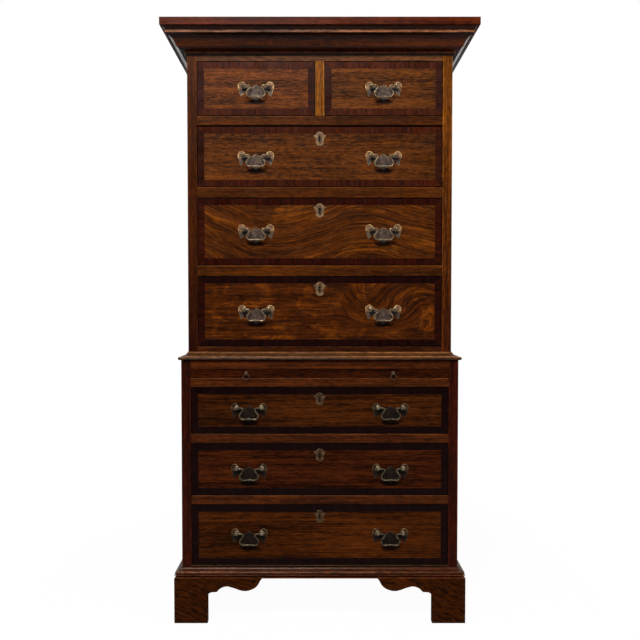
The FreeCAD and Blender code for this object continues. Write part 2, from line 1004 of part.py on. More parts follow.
def ring_shape():
    """Drop ring of the slide: a short bar through the eye, widening to a round bottom."""
    drop, half_width = size("ring_drop"), size("ring_half_width")
    bar = size("ring_radius")
    eye = size("post_neck") + bar + size("ring_side_gap")
    bottom = sampled_arc((0, -drop + half_width), half_width, 20, -90, 4)
    half = [(eye, 0), (eye + bar, -2 * bar)] + bottom
    points = half + [(-x, z) for x, z in reversed(half[:-1])]
    return faceted_bar(points, [bar] * len(points), ROUND_FLATS, closed=True)


def turned_head(label, sections):
    """A turned post head drawn with flats, through rings given by (radius, place in Y)."""
    rings = []
    for radius, y in sections:
        turns = [math.radians(360 * flat / ROUND_FLATS) for flat in range(ROUND_FLATS)]
        rings.append([Vector(radius * math.cos(turn), y, radius * math.sin(turn)) for turn in turns])
    return shaped(label, solid_through(rings, ROUND_FLATS, False))


name_formula("hole_half", "bolt_half + bolt_clearance")
bolt_hole = board(
    "bolt_hole",
    ("-hole_half", "hole_half"),
    ("-front_board", "2 * front_board"),
    ("-hole_half", "hole_half"),
)
plate_blank = shaped(
    "plate_blank",
    closed_face(plate_outline()).extrude(Vector(0, -size("plate_board"), 0)),
)
plate = cut(
    "handle_plate",
    plate_blank,
    gather("left_plate_hole", [bolt_hole], "-post_offset"),
    gather("right_plate_hole", [bolt_hole], "post_offset"),
)
post, neck, stand_off = size("post_radius"), size("post_neck"), size("stand_off")
post_head = turned_head(
    "post_head",
    [
        (post, -size("plate_board")),
        (neck, -stand_off + 1.2 * post),
        (post, -stand_off + 0.3 * post),
        (0.7 * post, -stand_off - post),
    ],
)
bolt = board(
    "post_bolt",
    ("-bolt_half", "bolt_half"),
    ("-plate_board", "front_board"),
    ("-bolt_half", "bolt_half"),
)
nut = board(
    "post_nut",
    ("-nut_width / 2", "nut_width / 2"),
    ("front_board", "front_board + nut_height"),
    ("-nut_width / 2", "nut_width / 2"),
)
pin_bore = prism(
    "pin_bore",
    f"(pin_radius + pin_clearance) / cos(180deg / {ROUND_FLATS})",
    "post_radius + pin_depth",
    TO_RIGHT,
    "-2 * post_radius",
    "-stand_off",
)
right_post = cut("right_post", fuse("post_body", post_head, bolt, nut), pin_bore)
left_post = gather("left_post", [right_post], turn=HALF_TURN)
handle_fittings = gather(
    "handle_fittings",
    [
        plate,
        gather("right_post_in_place", [right_post], "post_offset"),
        gather("left_post_in_place", [left_post], "-post_offset"),
    ],
)
bail = gather("bail", [shaped("bail_bar", bail_shape())], "0", "-stand_off")

eye_bore = prism(
    "eye_bore",
    f"(ring_radius + pin_clearance) / cos(180deg / {ROUND_FLATS})",
    "4 * post_radius",
    TO_RIGHT,
    "-2 * post_radius",
    "-stand_off",
)
eye_bolt = board(
    "eye_bolt",
    ("-bolt_half", "bolt_half"),
    ("0", "slide_lip_depth / 2"),
    ("-bolt_half", "bolt_half"),
)
eye_head = turned_head(
    "eye_head",
    [(post, 0), (neck, -stand_off + post), (1.2 * neck, -stand_off - neck)],
)
eye_post = cut("eye_post", fuse("eye_post_body", eye_head, eye_bolt), eye_bore)
ring = gather("drop_ring", [shaped("drop_ring_bar", ring_shape())], "0", "-stand_off")

key_round = prism("key_round", "key_radius", "4 * front_board", TO_BACK, y="-front_board", z="-key_drop")
key_slot = board(
    "key_slot_cutter",
    ("-key_slot / 2", "key_slot / 2"),
    ("-front_board", "3 * front_board"),
    ("-key_drop - key_height + key_radius", "-key_drop"),
)
keyhole = fuse("keyhole", key_round, key_slot)
escutcheon = cut(
    "escutcheon",
    shaped(
        "escutcheon_blank",
        closed_face(escutcheon_outline()).extrude(Vector(0, -size("escutcheon_board"), 0)),
    ),
    keyhole,
)
lock = board(
    "lock",
    ("-lock_width / 2", "lock_width / 2"),
    ("front_board - lock_board", "front_board"),
    ("-key_drop - lock_below_key", "escutcheon_drop"),
)


# ---- Drawers ----


class Drawer:
    """One dovetailed drawer, built with its front at Y 0 and its sill at Z 0, centred in X."""

    def __init__(self, name, width, height, depth, top_gap, handle_offsets, handle_rise, locked):
        self.name = name
        self.half = f"(({width}) / 2 - front_gap)"
        self.low = "front_gap"
        self.top = f"({height} - {top_gap})"
        self.depth = depth
        self.tails = round(size(height) / size("tail_pitch"))
        self.handles = handle_offsets
        self.handle_height = f"({height} / 2 + {handle_rise})"
        self.key_top = f"({self.top} - escutcheon_drop)"
        self.locked = locked
        self.bands = self.make_bands()
        self.bottom = self.make_bottom()
        self.left = self.make_side()
        self.right = mirror(self.label("right_lining"), self.left)
        self.back = self.make_back()
        self.front = self.make_front()
        self.brasses = self.make_brasses()

    def label(self, piece):
        return f"{self.name}_{piece}"

    def make_bands(self):
        """Four crossbanding strips, mitred at the corners and let in flush."""
        wide = f"(2 * {self.half})"
        tall = f"({self.top} - {self.low})"
        middle = f"({self.top} + {self.low}) / 2"
        strips = []
        for index, (piece, length, x, z) in enumerate(
            (
                ("top_band", wide, "0", f"{self.top} - band_width"),
                ("right_band", tall, f"{self.half} - band_width", middle),
                ("bottom_band", wide, "0", f"{self.low} + band_width"),
                ("left_band", tall, f"-{self.half} + band_width", middle),
            )
        ):
            strip = wedge(
                self.label(piece),
                ("0", "band_width"),
                (f"-{length} / 2 + band_width", f"{length} / 2 - band_width"),
                ("-band_board", "0"),
                (f"-{length} / 2", f"{length} / 2"),
                ("-band_board", "0"),
            )
            turn = Rotation(Vector(0, 1, 0), 90 * index).multiply(TO_FRONT)
            strips.append(put(strip, x, "0", z, turn))
        return strips

    def make_bottom(self):
        reach = f"({self.half} - lining_board + bottom_groove)"
        return board(
            self.label("bottom"),
            (f"-{reach}", reach),
            ("front_board - bottom_board", self.depth),
            ("bottom_rise", "bottom_rise + bottom_board"),
        )

    def tail(self, piece, narrow_y, wide_y, low, high, index):
        """One dovetail, wider at the end that the other board holds."""
        pitch = f"(({high}) - ({low})) / {self.tails}"
        centre = f"({low} + {pitch} * {index + 0.5})"
        wide = f"({pitch} * tail_share / 2)"
        narrow = f"({pitch} * tail_share / 2 - tail_flare)"
        spans = {
            narrow_y: (f"{centre} - {narrow}", f"{centre} + {narrow}"),
            wide_y: (f"{centre} - {wide}", f"{centre} + {wide}"),
        }
        across = (f"-{self.half}", f"-{self.half} + lining_board")
        start, end = (wide_y, narrow_y) if piece == "front" else (narrow_y, wide_y)
        return wedge(
            self.label(f"{piece}_tail_{index + 1}"),
            (start, end),
            across,
            spans[start],
            across,
            spans[end],
        )

    def make_side(self):
        body = board(
            self.label("side_blank"),
            (f"-{self.half}", f"-{self.half} + lining_board"),
            ("front_board", f"{self.depth} - lining_board"),
            ("drawer_lift", self.top),
        )
        pieces = [body]
        for index in range(self.tails):
            pieces.append(
                self.tail("front", "front_board", "front_lap", "band_width / 2", self.top, index)
            )
            pieces.append(
                self.tail(
                    "back",
                    f"{self.depth} - lining_board",
                    self.depth,
                    "bottom_rise + bottom_board",
                    f"{self.top} - back_drop",
                    index,
                )
            )
        return cut(self.label("left_lining"), fuse(self.label("side_stock"), *pieces), self.bottom)

    def make_back(self):
        blank = board(
            self.label("back_blank"),
            (f"-{self.half}", self.half),
            (f"{self.depth} - lining_board", self.depth),
            ("bottom_rise + bottom_board", f"{self.top} - back_drop"),
        )
        return cut(self.label("back_lining"), blank, self.left, self.right)

    def make_front(self):
        blank = board(
            self.label("front_blank"),
            (f"-{self.half}", self.half),
            ("0", "front_board"),
            (self.low, self.top),
        )
        tools = self.bands + [self.left, self.right, self.bottom]
        for index, offset in enumerate(self.handles):
            for side, sign in (("left", "-"), ("right", "+")):
                hole = gather(
                    self.label(f"bolt_hole_{index + 1}_{side}"),
                    [bolt_hole],
                    f"{offset} {sign} post_offset",
                    "0",
                    self.handle_height,
                )
                tools.append(hole)
        front = cut(self.label("front_board"), blank, *tools)
        if self.locked:
            key = gather(self.label("keyhole"), [keyhole], "0", "0", self.key_top)
            mortise = gather(self.label("lock_mortise"), [lock], "0", "0", self.key_top)
            front = cut(self.label("front_with_lock"), front, fuse(self.label("key_way"), key, mortise))
        return front

    def make_brasses(self):
        pieces = []
        for index, offset in enumerate(self.handles):
            pieces.append(
                gather(
                    self.label(f"fittings_{index + 1}"),
                    [handle_fittings],
                    offset,
                    "0",
                    self.handle_height,
                )
            )
        if self.locked:
            pieces.append(gather(self.label("escutcheon"), [escutcheon], "0", "0", self.key_top))
            pieces.append(gather(self.label("lock"), [lock], "0", "0", self.key_top))
        return pieces

    def place(self, name, x, y, z):
        node(f"{name}_front", [self.front], x, y, z)
        node(f"{name}_crossbanding", self.bands, x, y, z)
        node(f"{name}_lining", [self.left, self.right, self.back, self.bottom], x, y, z)
        node(f"{name}_brasses", self.brasses, x, y, z)
        for index, offset in enumerate(self.handles):
            tag = ("left", "right")[index] if len(self.handles) > 1 else ""
            label = f"{name}_{tag}_bail" if tag else f"{name}_bail"
            node(label, [bail], f"{x} + {offset}", y, f"{z} + {self.handle_height}")


name_formula("upper_opening", "upper_width - 2 * stile_width")
name_formula("lower_opening", "lower_width - 2 * stile_width")
name_formula("short_opening", "(upper_opening - divider_width) / 2")
name_formula("upper_drawer_depth", "back_inside - drawer_back_gap - upper_front")
name_formula("lower_drawer_depth", "back_inside - drawer_back_gap - lower_front")
UPPER_PAIR = ("-upper_handle_offset", "upper_handle_offset")
LOWER_PAIR = ("-lower_handle_offset", "lower_handle_offset")

short_drawer = Drawer(
    "short_drawer",
    "short_opening",
    "short_drawer_opening",
    "upper_drawer_depth",
    "top_gap",
    ("0",),
    "short_handle_rise",
    False,
)
short_centre = "(short_opening + divider_width) / 2"
short_drawer.place("top_left_drawer", f"-{short_centre}", "upper_front", "short_sill")
short_drawer.place("top_right_drawer", short_centre, "upper_front", "short_sill")

for name, case, place in (
    ("upper_drawer_high", "upper", "third"),
    ("upper_drawer_middle", "upper", "fourth"),
    ("upper_drawer_low", "upper", "fifth"),
    ("lower_drawer_high", "lower", "high"),
    ("lower_drawer_middle", "lower", "middle"),
    ("lower_drawer_low", "lower", "low"),
):
    drawer = Drawer(
        name,
        f"{case}_opening",
        f"{place}_drawer_opening",
        f"{case}_drawer_depth",
        "third_top_gap" if place == "third" else "top_gap",
        UPPER_PAIR if case == "upper" else LOWER_PAIR,
        f"{place}_handle_rise",
        True,
    )
    drawer.place(name, "0", f"{case}_front", f"{place}_sill")


# ---- Brushing slide ----

name_formula("slide_half", "lower_opening / 2 - slide_gap")
name_formula("slide_back", "slide_front + slide_length")
slide_lip_blank = board(
    "slide_lip_blank",
    ("-slide_half", "slide_half"),
    ("slide_front", "slide_lip_back"),
    ("slide_low", "slide_head - slide_gap"),
)
slide_pull_places = []
slide_middle = "slide_low + slide_opening / 2"
for side, sign in (("left", "-"), ("right", "+")):
    slide_pull_places.append((side, f"{sign} slide_pull_offset", "slide_front", slide_middle))
eye_drill = board(
    "eye_drill",
    ("-hole_half", "hole_half"),
    ("-front_board", "slide_lip_depth / 2"),
    ("-hole_half", "hole_half"),
)
eye_holes = [gather(f"{side}_eye_hole", [eye_drill], x, y, z) for side, x, y, z in slide_pull_places]
slide_lip = cut("slide_lip", slide_lip_blank, *eye_holes)
slide_panel = board(
    "slide_panel",
    ("-slide_half + slide_cleat", "slide_half - slide_cleat"),
    ("slide_lip_back", "slide_back"),
    ("slide_low", "slide_low + slide_board"),
)
left_cleat = board(
    "slide_left_cleat",
    ("-slide_half", "-slide_half + slide_cleat"),
    ("slide_lip_back", "slide_back"),
    ("slide_low", "slide_low + slide_board"),
)
node("brushing_slide", [slide_lip, slide_panel, left_cleat, mirror("slide_right_cleat", left_cleat)])
node(
    "slide_pull_posts",
    [gather(f"slide_{side}_eye", [eye_post], x, y, z) for side, x, y, z in slide_pull_places],
)
for side, x, y, z in slide_pull_places:
    node(f"slide_{side}_ring", [ring], x, y, z)

# ---- Check everything, then write one file per sub-part ----

doc.recompute()
for item in doc.Objects:
    if {"Invalid", "Error"} & set(item.State):
        raise RuntimeError(f"{item.Label} could not be built: {item.State}")
for item in NODES:
    if item.Shape.isNull() or not item.Shape.isValid():
        raise RuntimeError(f"{item.Label} has no valid shape")

os.makedirs("parts", exist_ok=True)
for item in NODES:
    item.Shape.exportStep(os.path.join("parts", f"{item.Label}.step"))
print(len(NODES), "sub-parts written")
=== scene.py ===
"""Chest on chest in oak with mahogany crossbanding, dressed over its CAD frame."""

import json
import math
import random

import bmesh
import bpy
from bmesh.types import BMEdge, BMFace, BMVert
from mathutils import Matrix, Vector


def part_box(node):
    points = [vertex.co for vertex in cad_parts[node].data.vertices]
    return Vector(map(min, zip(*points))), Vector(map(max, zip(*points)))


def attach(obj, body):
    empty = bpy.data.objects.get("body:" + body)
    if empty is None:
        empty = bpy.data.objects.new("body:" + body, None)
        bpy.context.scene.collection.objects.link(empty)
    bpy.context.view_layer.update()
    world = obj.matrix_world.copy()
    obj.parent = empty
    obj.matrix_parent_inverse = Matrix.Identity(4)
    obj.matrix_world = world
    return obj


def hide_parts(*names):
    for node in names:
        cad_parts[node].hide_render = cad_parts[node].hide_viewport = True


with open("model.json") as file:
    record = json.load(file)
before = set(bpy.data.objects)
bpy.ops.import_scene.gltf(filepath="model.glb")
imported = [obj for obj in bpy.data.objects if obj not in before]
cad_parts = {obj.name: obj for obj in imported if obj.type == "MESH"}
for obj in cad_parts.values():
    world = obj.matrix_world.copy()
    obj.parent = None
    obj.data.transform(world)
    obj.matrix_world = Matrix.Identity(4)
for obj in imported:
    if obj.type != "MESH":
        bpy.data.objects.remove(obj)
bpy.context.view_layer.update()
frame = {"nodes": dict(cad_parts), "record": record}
nodes = frame["nodes"]
joints = {joint["child"]: joint for joint in frame["record"]["behaviour"]["joints"]}

MM = 0.001
SHORT_DRAWERS = ("top_left_drawer", "top_right_drawer")
UPPER_DRAWERS = ("upper_drawer_low", "upper_drawer_middle", "upper_drawer_high")
LOWER_DRAWERS = ("lower_drawer_low", "lower_drawer_middle", "lower_drawer_high")
LONG_DRAWERS = UPPER_DRAWERS + LOWER_DRAWERS
DRAWERS = SHORT_DRAWERS + LONG_DRAWERS

# Gaps round the drawers, and the depths of the boards between them.
SIDE_GAP = 1 * MM
TOP_GAP = 1.5 * MM
WORN_TOP_GAP = 4.5 * MM
STILE_DEPTH = 22 * MM
RAIL_DEPTH = 60 * MM

upper_low, upper_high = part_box("upper_case_front_frame")
lower_low, lower_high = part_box("lower_case_front_frame")
sides_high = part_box("upper_case_sides")[1]
cornice_low, cornice_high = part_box("cornice")
foot_low, foot_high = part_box("bracket_feet")
mouldings_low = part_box("waist_and_base_mouldings")[0]
back = cornice_high.y

chance = random.Random(1760)


# ---- Finishes ----


def tint(red, green, blue):
    """A colour written in 0 to 255 as a screen shows it, made linear."""
    linear = []
    for part in (red, green, blue):
        part /= 255
        linear.append(part / 12.92 if part <= 0.04045 else ((part + 0.055) / 1.055) ** 2.4)
    return (*linear, 1)


class Nodes:
    """Short ways to add nodes to a tree."""

    def __init__(self, tree):
        self.tree = tree

    def add(self, kind, inputs=None, **settings):
        made = self.tree.nodes.new(kind)
        for key, value in settings.items():
            setattr(made, key, value)
        for key, value in (inputs or {}).items():
            self.feed(made.inputs[key], value)
        return made

    def feed(self, socket, value):
        if isinstance(value, bpy.types.NodeSocket):
            self.tree.links.new(value, socket)
        else:
            socket.default_value = value

    def maths(self, operation, first, second=0.0):
        return self.add("ShaderNodeMath", {0: first, 1: second}, operation=operation).outputs[0]

    def vector(self, operation, first, second=(0, 0, 0)):
        return self.add("ShaderNodeVectorMath", {0: first, 1: second}, operation=operation).outputs[0]

    def parts(self, vector):
        return self.add("ShaderNodeSeparateXYZ", {0: vector}).outputs

    def span(self, value, low, high, first=0.0, last=1.0):
        """First up to low, last from high on, and even steps between."""
        inputs = {"Value": value, "From Min": low, "From Max": high, "To Min": first, "To Max": last}
        return self.add("ShaderNodeMapRange", inputs).outputs[0]

    def reach(self, place, centre=(0, 0, 0), weights=(1, 1, 1)):
        """How far a place lies from a centre, each axis counted by its weight."""
        apart = self.vector("MULTIPLY", self.vector("SUBTRACT", place, centre), weights)
        return self.add("ShaderNodeVectorMath", {0: apart}, operation="LENGTH").outputs[1]


class Finish(Nodes):
    """A material and short ways to build its look."""

    def __init__(self, name):
        self.material = bpy.data.materials.new(name)
        self.material.use_nodes = True
        super().__init__(self.material.node_tree)
        self.shader = self.tree.nodes["Principled BSDF"]

    def here(self):
        return self.add("ShaderNodeTexCoord").outputs["Object"]

    def laid(self, name="grain"):
        """Places that a piece carries with it, for grain with X along it."""
        return self.add("ShaderNodeAttribute", attribute_name=name).outputs["Vector"]

    def mapped(self, vector, scale=(1, 1, 1), shift=(0, 0, 0), turn=(0, 0, 0)):
        inputs = {"Vector": vector, "Scale": scale, "Location": shift, "Rotation": turn}
        return self.add("ShaderNodeMapping", inputs).outputs["Vector"]

    def noise(self, vector, detail, scale=1, roughness=0.55, distortion=0):
        inputs = {
            "Vector": vector,
            "Scale": scale,
            "Detail": detail,
            "Roughness": roughness,
            "Distortion": distortion,
        }
        return self.add("ShaderNodeTexNoise", inputs).outputs[0]

    def streaks(self, line, scale, shift=(0, 0, 0), **settings):
        """Noise drawn out along the grain."""
        return self.noise(self.mapped(line, scale, shift), **settings)

    def ramp(self, factor, *stops):
        """A colour from stops of a place and a colour, or a place and a grey."""
        made = self.add("ShaderNodeValToRGB", {"Fac": factor})
        elements = made.color_ramp.elements
        while len(elements) < len(stops):
            elements.new(0.5)
        for element, (place, colour) in zip(elements, stops):
            element.position = place
            element.color = colour if isinstance(colour, tuple) else (colour, colour, colour, 1)
        return made.outputs["Color"]

    def mix(self, factor, first, second, way="MIX"):
        inputs = {0: factor, 6: first, 7: second}
        return self.add("ShaderNodeMix", inputs, data_type="RGBA", blend_type=way).outputs[2]

    def times(self, tone, other):
        return self.mix(1, tone, other, "MULTIPLY")

    def blend(self, factor, first, second):
        return self.add("ShaderNodeMix", {0: factor, 2: first, 3: second}, data_type="FLOAT").outputs[0]

    def bump(self, height, distance, strength):
        inputs = {"Height": height, "Distance": distance, "Strength": strength}
        self.set({"Normal": self.add("ShaderNodeBump", inputs).outputs["Normal"]})

    def set(self, values):
        for name, value in values.items():
            self.feed(self.shader.inputs[name], value)


def wood(
    name,
    colour,
    grain=None,
    figure=None,
    spread=0.72,
    mottle=0.5,
    fleck=(45, 200),
    bands=34,
    takes_stain_and_light=False,
    gloss=0.36,
    sheen=0.08,
    edge=None,
    rays=None,
    depth=1.0,
):
    """Polished timber: broad bands, flecks, fine lines, open pores and an uneven old polish.

    grain is a turn that brings the grain to lie along X, and a shift into fresh timber. Without
    it the grain follows the places that each board carries. spread and depth say how far the
    tone swings and how much of that goes to the dark bands, mottle how much the flecks count.
    """
    finish = Finish(name)
    if grain:
        turn, shift = grain
        line = finish.mapped(finish.here(), shift=shift, turn=turn)
    else:
        line = finish.laid()
    if figure:
        line = figure(finish, line)
    along, across = fleck
    broad = finish.streaks(line, (1.6, bands, bands), detail=4, roughness=0.6, distortion=0.5)
    short = finish.streaks(line, (along, across, across), detail=2, roughness=0.6, distortion=0.3)
    fine = finish.streaks(line, (6, 260, 260), detail=3, roughness=0.6)
    body = finish.blend(0.66, broad, finish.blend(mottle, fine, short))
    dark = tuple(part * (1 - spread * depth) for part in colour[:3]) + (1,)
    light = tuple(part * (1 + spread) for part in colour[:3]) + (1,)
    tone = finish.ramp(body, (0.42, dark), (0.5, colour), (0.58, light))
    pore = finish.streaks(line, (45, 800, 800), detail=2, roughness=0.5)
    tone = finish.times(tone, finish.ramp(pore, (0.36, 0.5), (0.5, 1.06)))
    cloud = finish.streaks(line, (5, 9, 9), (3, 1, 2), detail=3, roughness=0.5)
    tone = finish.times(tone, finish.ramp(cloud, (0.3, 0.8), (0.7, 1.18)))
    if rays:
        streak = finish.streaks(line, rays, (1, 4, 2), detail=3, roughness=0.5, distortion=1.2)
        gold = finish.ramp(streak, (0.46, 0.9), (0.54, 1.0), (0.62, (1.75, 1.9, 1.5, 1)))
        tone = finish.times(tone, gold)
    # The laid stain also carries painted light on some boards and mouldings.
    if takes_stain_and_light:
        tone = finish.times(tone, finish.laid("stain_and_light"))
    if edge:
        tone = edge(finish, tone, line)
    rub = finish.streaks(line, (14, 30, 30), (7, 0, 0), detail=3)
    finish.set(
        {
            "Base Color": tone,
            "Roughness": finish.ramp(rub, (0.3, gloss - 0.07), (0.7, gloss + 0.12)),
            "Specular IOR Level": sheen,
        }
    )
    finish.bump(finish.mix(0.5, pore, fine), 0.25 * MM, 0.5)
    return finish


# How far in from an arris its painted highlight reaches.
ARRIS_HIGHLIGHT_WIDTH = 8 * MM
# The shade under the waist starts, is full and ends at these rises from the lower case's top.
WAIST_SHADE = (-9 * MM, -5 * MM, 1 * MM)
# How far out the painted shadow under a handle is full and ends, and the tone that it paints.
SHADOW_CORE, SHADOW_REACH, SHADOW_TONE = 19 * MM, 33 * MM, 0.12
# The fronts darken to the right between these places.
FAR_END = (0.15, 0.36)
RIM_DARK_WIDTH = 7 * MM


def arris_highlight_and_waist_shade(finish, tone, line):
    """Painted highlights along the board arrises, and a painted shade line under the waist."""
    gaps = finish.parts(finish.laid("edge"))
    gap = finish.maths("MINIMUM", finish.maths("MINIMUM", gaps[0], gaps[1]), gaps[2])
    wander = finish.streaks(line, (22, 40, 40), (2, 5, 1), detail=2)
    near = finish.maths("DIVIDE", gap, finish.maths("MULTIPLY", wander, ARRIS_HIGHLIGHT_WIDTH))
    # The painted arris highlight, lighter and greyer than the wood.
    tone = finish.times(tone, finish.ramp(near, (0.3, (1.75, 2.15, 3.2, 1)), (1.0, 1.0)))
    # Painted shade under the waist moulding.
    height = finish.parts(finish.here())[2]
    start, full, end = (lower_high.z + rise for rise in WAIST_SHADE)
    below_end = finish.maths("LESS_THAN", height, end)
    shaded = finish.maths("MULTIPLY", finish.span(height, start, full), below_end)
    return finish.times(tone, finish.ramp(shaded, (0.0, 1.0), (1.0, (0.5, 0.3, 0.18, 1))))


def shadow_below_handles(places, far_end=1.0):
    """Painted shadow under the handles at these (x, z), and a darker right-hand end."""

    def darken(finish, tone, line):
        here = finish.here()
        tone = finish.times(tone, finish.span(finish.parts(here)[0], *FAR_END, 1.0, far_end))
        for x, z in places:
            reach = finish.reach(here, (x, 0, z), (1, 0, 2.9))
            tone = finish.times(tone, finish.span(reach, SHADOW_CORE, SHADOW_REACH, SHADOW_TONE))
        return tone

    return darken


def dark_rim(finish, tone, line):
    """Darker along a drawer front's outer edge, and a little lighter just inside it."""
    gap = finish.parts(finish.laid("edge"))[0]
    wander = finish.streaks(line, (30, 12, 12), (4, 1, 7), detail=2)
    near = finish.maths("DIVIDE", gap, finish.maths("MULTIPLY", wander, RIM_DARK_WIDTH))
    return finish.times(tone, finish.ramp(near, (0.3, 0.15), (0.7, 1.25), (1.0, 1.0)))


def curly_figure(finish, line):
    """Grain that runs aslant and curls, as in timber cut near a fork."""
    aslant = finish.mapped(line, turn=(0, math.radians(-24), 0))
    swirl = finish.add("ShaderNodeTexNoise", {"Vector": line, "Scale": 14.0, "Detail": 1.0}).outputs[1]
    swing = finish.vector("SUBTRACT", swirl, (0.5, 0.5, 0.5))
    return finish.vector("ADD", aslant, finish.vector("MULTIPLY", swing, (0.03, 0.03, 0.05)))


def wavy_figure(finish, line):
    """Grain lines that sweep down, rise and arch along the drawer."""
    run, swing = 0.74, 0.13
    x, y, z = finish.parts(line)
    share = finish.maths("ADD", finish.maths("MULTIPLY", x, 1 / run), 0.5)
    sweep = finish.add("ShaderNodeFloatCurve", {"Factor": 1.0, "Value": share})
    points = sweep.mapping.curves[0].points
    points[0].location = (0.0, 0.95)
    points[1].location = (1.0, 0.35)
    for place in ((0.14, 0.5), (0.3, 0.25), (0.5, 0.45), (0.68, 0.72), (0.84, 0.55)):
        points.new(*place)
    sweep.mapping.update()
    rise = finish.maths("MULTIPLY", sweep.outputs[0], -swing)
    return finish.add("ShaderNodeCombineXYZ", {0: x, 1: y, 2: finish.maths("ADD", z, rise)}).outputs[0]


def swirl_figure(finish, line):
    """Flecked grain that curls round a knot near one end."""
    knot, knot_reach, twist = (0.235, 0, 0.97), 0.12, 1.3
    pull = finish.span(finish.reach(line, knot, (0.7, 0, 1.3)), 0.0, knot_reach, twist, 0.0)
    return finish.add(
        "ShaderNodeVectorRotate",
        {"Vector": line, "Center": knot, "Axis": (0, 1, 0), "Angle": pull},
        rotation_type="AXIS_ANGLE",
    ).outputs[0]


LEVEL = (0, 0, 0)
TO_UPRIGHT = (0, math.radians(90), 0)

# The case boards take painted arris highlights and a painted shade line under the waist.
case_oak = wood("case_oak", tint(80, 37, 8), takes_stain_and_light=True, edge=arris_highlight_and_waist_shade, depth=0.75)
moulding_oak = wood("moulding_oak", tint(84, 46, 24), takes_stain_and_light=True, gloss=0.25, sheen=0.2)
side_oak = wood("side_oak", tint(74, 38, 12), (TO_UPRIGHT, (0, 0, 0)), sheen=0.05)
crossband = wood(
    "crossband_mahogany",
    tint(62, 22, 8),
    spread=0.5,
    bands=60,
    takes_stain_and_light=True,
    gloss=0.3,
    edge=dark_rim,
)
slide_oak = wood("slide_oak", tint(54, 19, 2), (LEVEL, (2, 5, 1)), sheen=0.05)
lining_oak = wood("lining_oak", tint(146, 110, 72), (LEVEL, (1, 2, 3)), spread=0.3, gloss=0.6)
inner_pine = wood("inner_pine", tint(124, 90, 54), (LEVEL, (4, 2, 7)), spread=0.3, gloss=0.65)
fascia_mahogany = wood(
    "fascia_mahogany", tint(84, 37, 17), spread=0.5, bands=90, takes_stain_and_light=True, gloss=0.3
)
feet_oak = wood("feet_oak", tint(60, 25, 2), None, curly_figure, bands=110, takes_stain_and_light=True, sheen=0.04)

FRONT_TONES = {
    "top_left_drawer": tint(97, 49, 15),
    "top_right_drawer": tint(96, 50, 14),
    "upper_drawer_high": tint(88, 44, 10),
    "upper_drawer_middle": tint(80, 37, 4),
    "upper_drawer_low": tint(75, 32, 2.5),
    "lower_drawer_high": tint(66, 30, 6),
    "lower_drawer_middle": tint(65, 26, 6),
    "lower_drawer_low": tint(74, 33, 5),
}
FRONT_FIGURES = {"upper_drawer_middle": wavy_figure, "upper_drawer_low": swirl_figure}
FRONT_RAYS = {"upper_drawer_middle": (6, 60, 60), "upper_drawer_low": (15, 24, 30)}
FAR_END_TONES = {"top_right_drawer": 0.7, "upper_drawer_high": 0.72}
# Each front is cut this much further into the timber than the last.
FRONT_SHIFT = 0.3
# How far below a bail's pivot its painted shadow is centred.
SHADOW_DROP = 45 * MM


def pivot_of(body):
    return Vector(joints[body]["pos_m"])


def bails_of(drawer):
    """The drawer's bails, each with its pivot."""
    sides = ("",) if drawer in SHORT_DRAWERS else ("left_", "right_")
    bails = [f"{drawer}_{side}bail" for side in sides]
    return [(bail, pivot_of(bail)) for bail in bails]


def front_oak(number, drawer):
    """The oak of one drawer's front, darker and duller in the lower case."""
    lower = drawer in LOWER_DRAWERS
    rays = FRONT_RAYS.get(drawer)
    shadow_places = [(pivot.x, pivot.z - SHADOW_DROP) for _, pivot in bails_of(drawer)]
    return wood(
        f"{drawer}_oak",
        FRONT_TONES[drawer],
        (LEVEL, (0, FRONT_SHIFT * number, 0)),
        FRONT_FIGURES.get(drawer),
        fleck=(40, 260) if lower else (60, 260),
        bands=46 if rays else 34,
        depth=1.0 if lower else 0.9,
        mottle=0.4 if lower or rays else 0.62,
        rays=rays,
        sheen=0.04 if lower else 0.08,
        # Painted shadow under the handles, and a darker right-hand end.
        edge=shadow_below_handles(shadow_places, FAR_END_TONES.get(drawer, 1.0)),
    )


front_oaks = {drawer: front_oak(number, drawer) for number, drawer in enumerate(FRONT_TONES)}


# ---- Making and placing pieces ----


TOUCHING = 0.001 * MM


def merge(mesh):
    """Make corners that meet one corner."""
    bmesh.ops.remove_doubles(mesh, verts=mesh.verts, dist=TOUCHING)


def face_out(mesh):
    """Turn every face outwards."""
    bmesh.ops.recalc_face_normals(mesh, faces=mesh.faces)


def piece(name, mesh, finish, body, slot, *replaced, smooth=40):
    """Finish a bmesh as an object that rides a body and stands for CAD nodes."""
    merge(mesh)
    data = bpy.data.meshes.new(name)
    mesh.to_mesh(data)
    mesh.free()
    data.shade_smooth()
    data.set_sharp_from_angle(angle=math.radians(smooth))
    for coat in finish if isinstance(finish, tuple) else (finish,):
        data.materials.append(coat.material)
    made = bpy.data.objects.new(name, data)
    bpy.context.scene.collection.objects.link(made)
    made.modifiers.new("flat_faces", "WEIGHTED_NORMAL").keep_sharp = True
    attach(made, body)
    if replaced:
        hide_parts(*replaced)


def dress(node, finish):
    """Give a CAD node its finish."""
    slots = nodes[node].data.materials
    slots.clear()
    slots.append(finish.material)


def gather(pieces):
    """Several meshes as one."""
    whole = bmesh.new()
    store = bpy.data.meshes.new("store")
    for part in pieces:
        part.to_mesh(store)
        whole.from_mesh(store)
        part.free()
    bpy.data.meshes.remove(store)
    return whole


def fresh(kind, made):
    """The corners, edges or faces that an extrusion has made."""
    return [item for item in made["geom"] if isinstance(item, kind)]


def moved(mesh, x=0.0, y=0.0, z=0.0):
    bmesh.ops.translate(mesh, vec=(x, y, z), verts=mesh.verts)
    return mesh


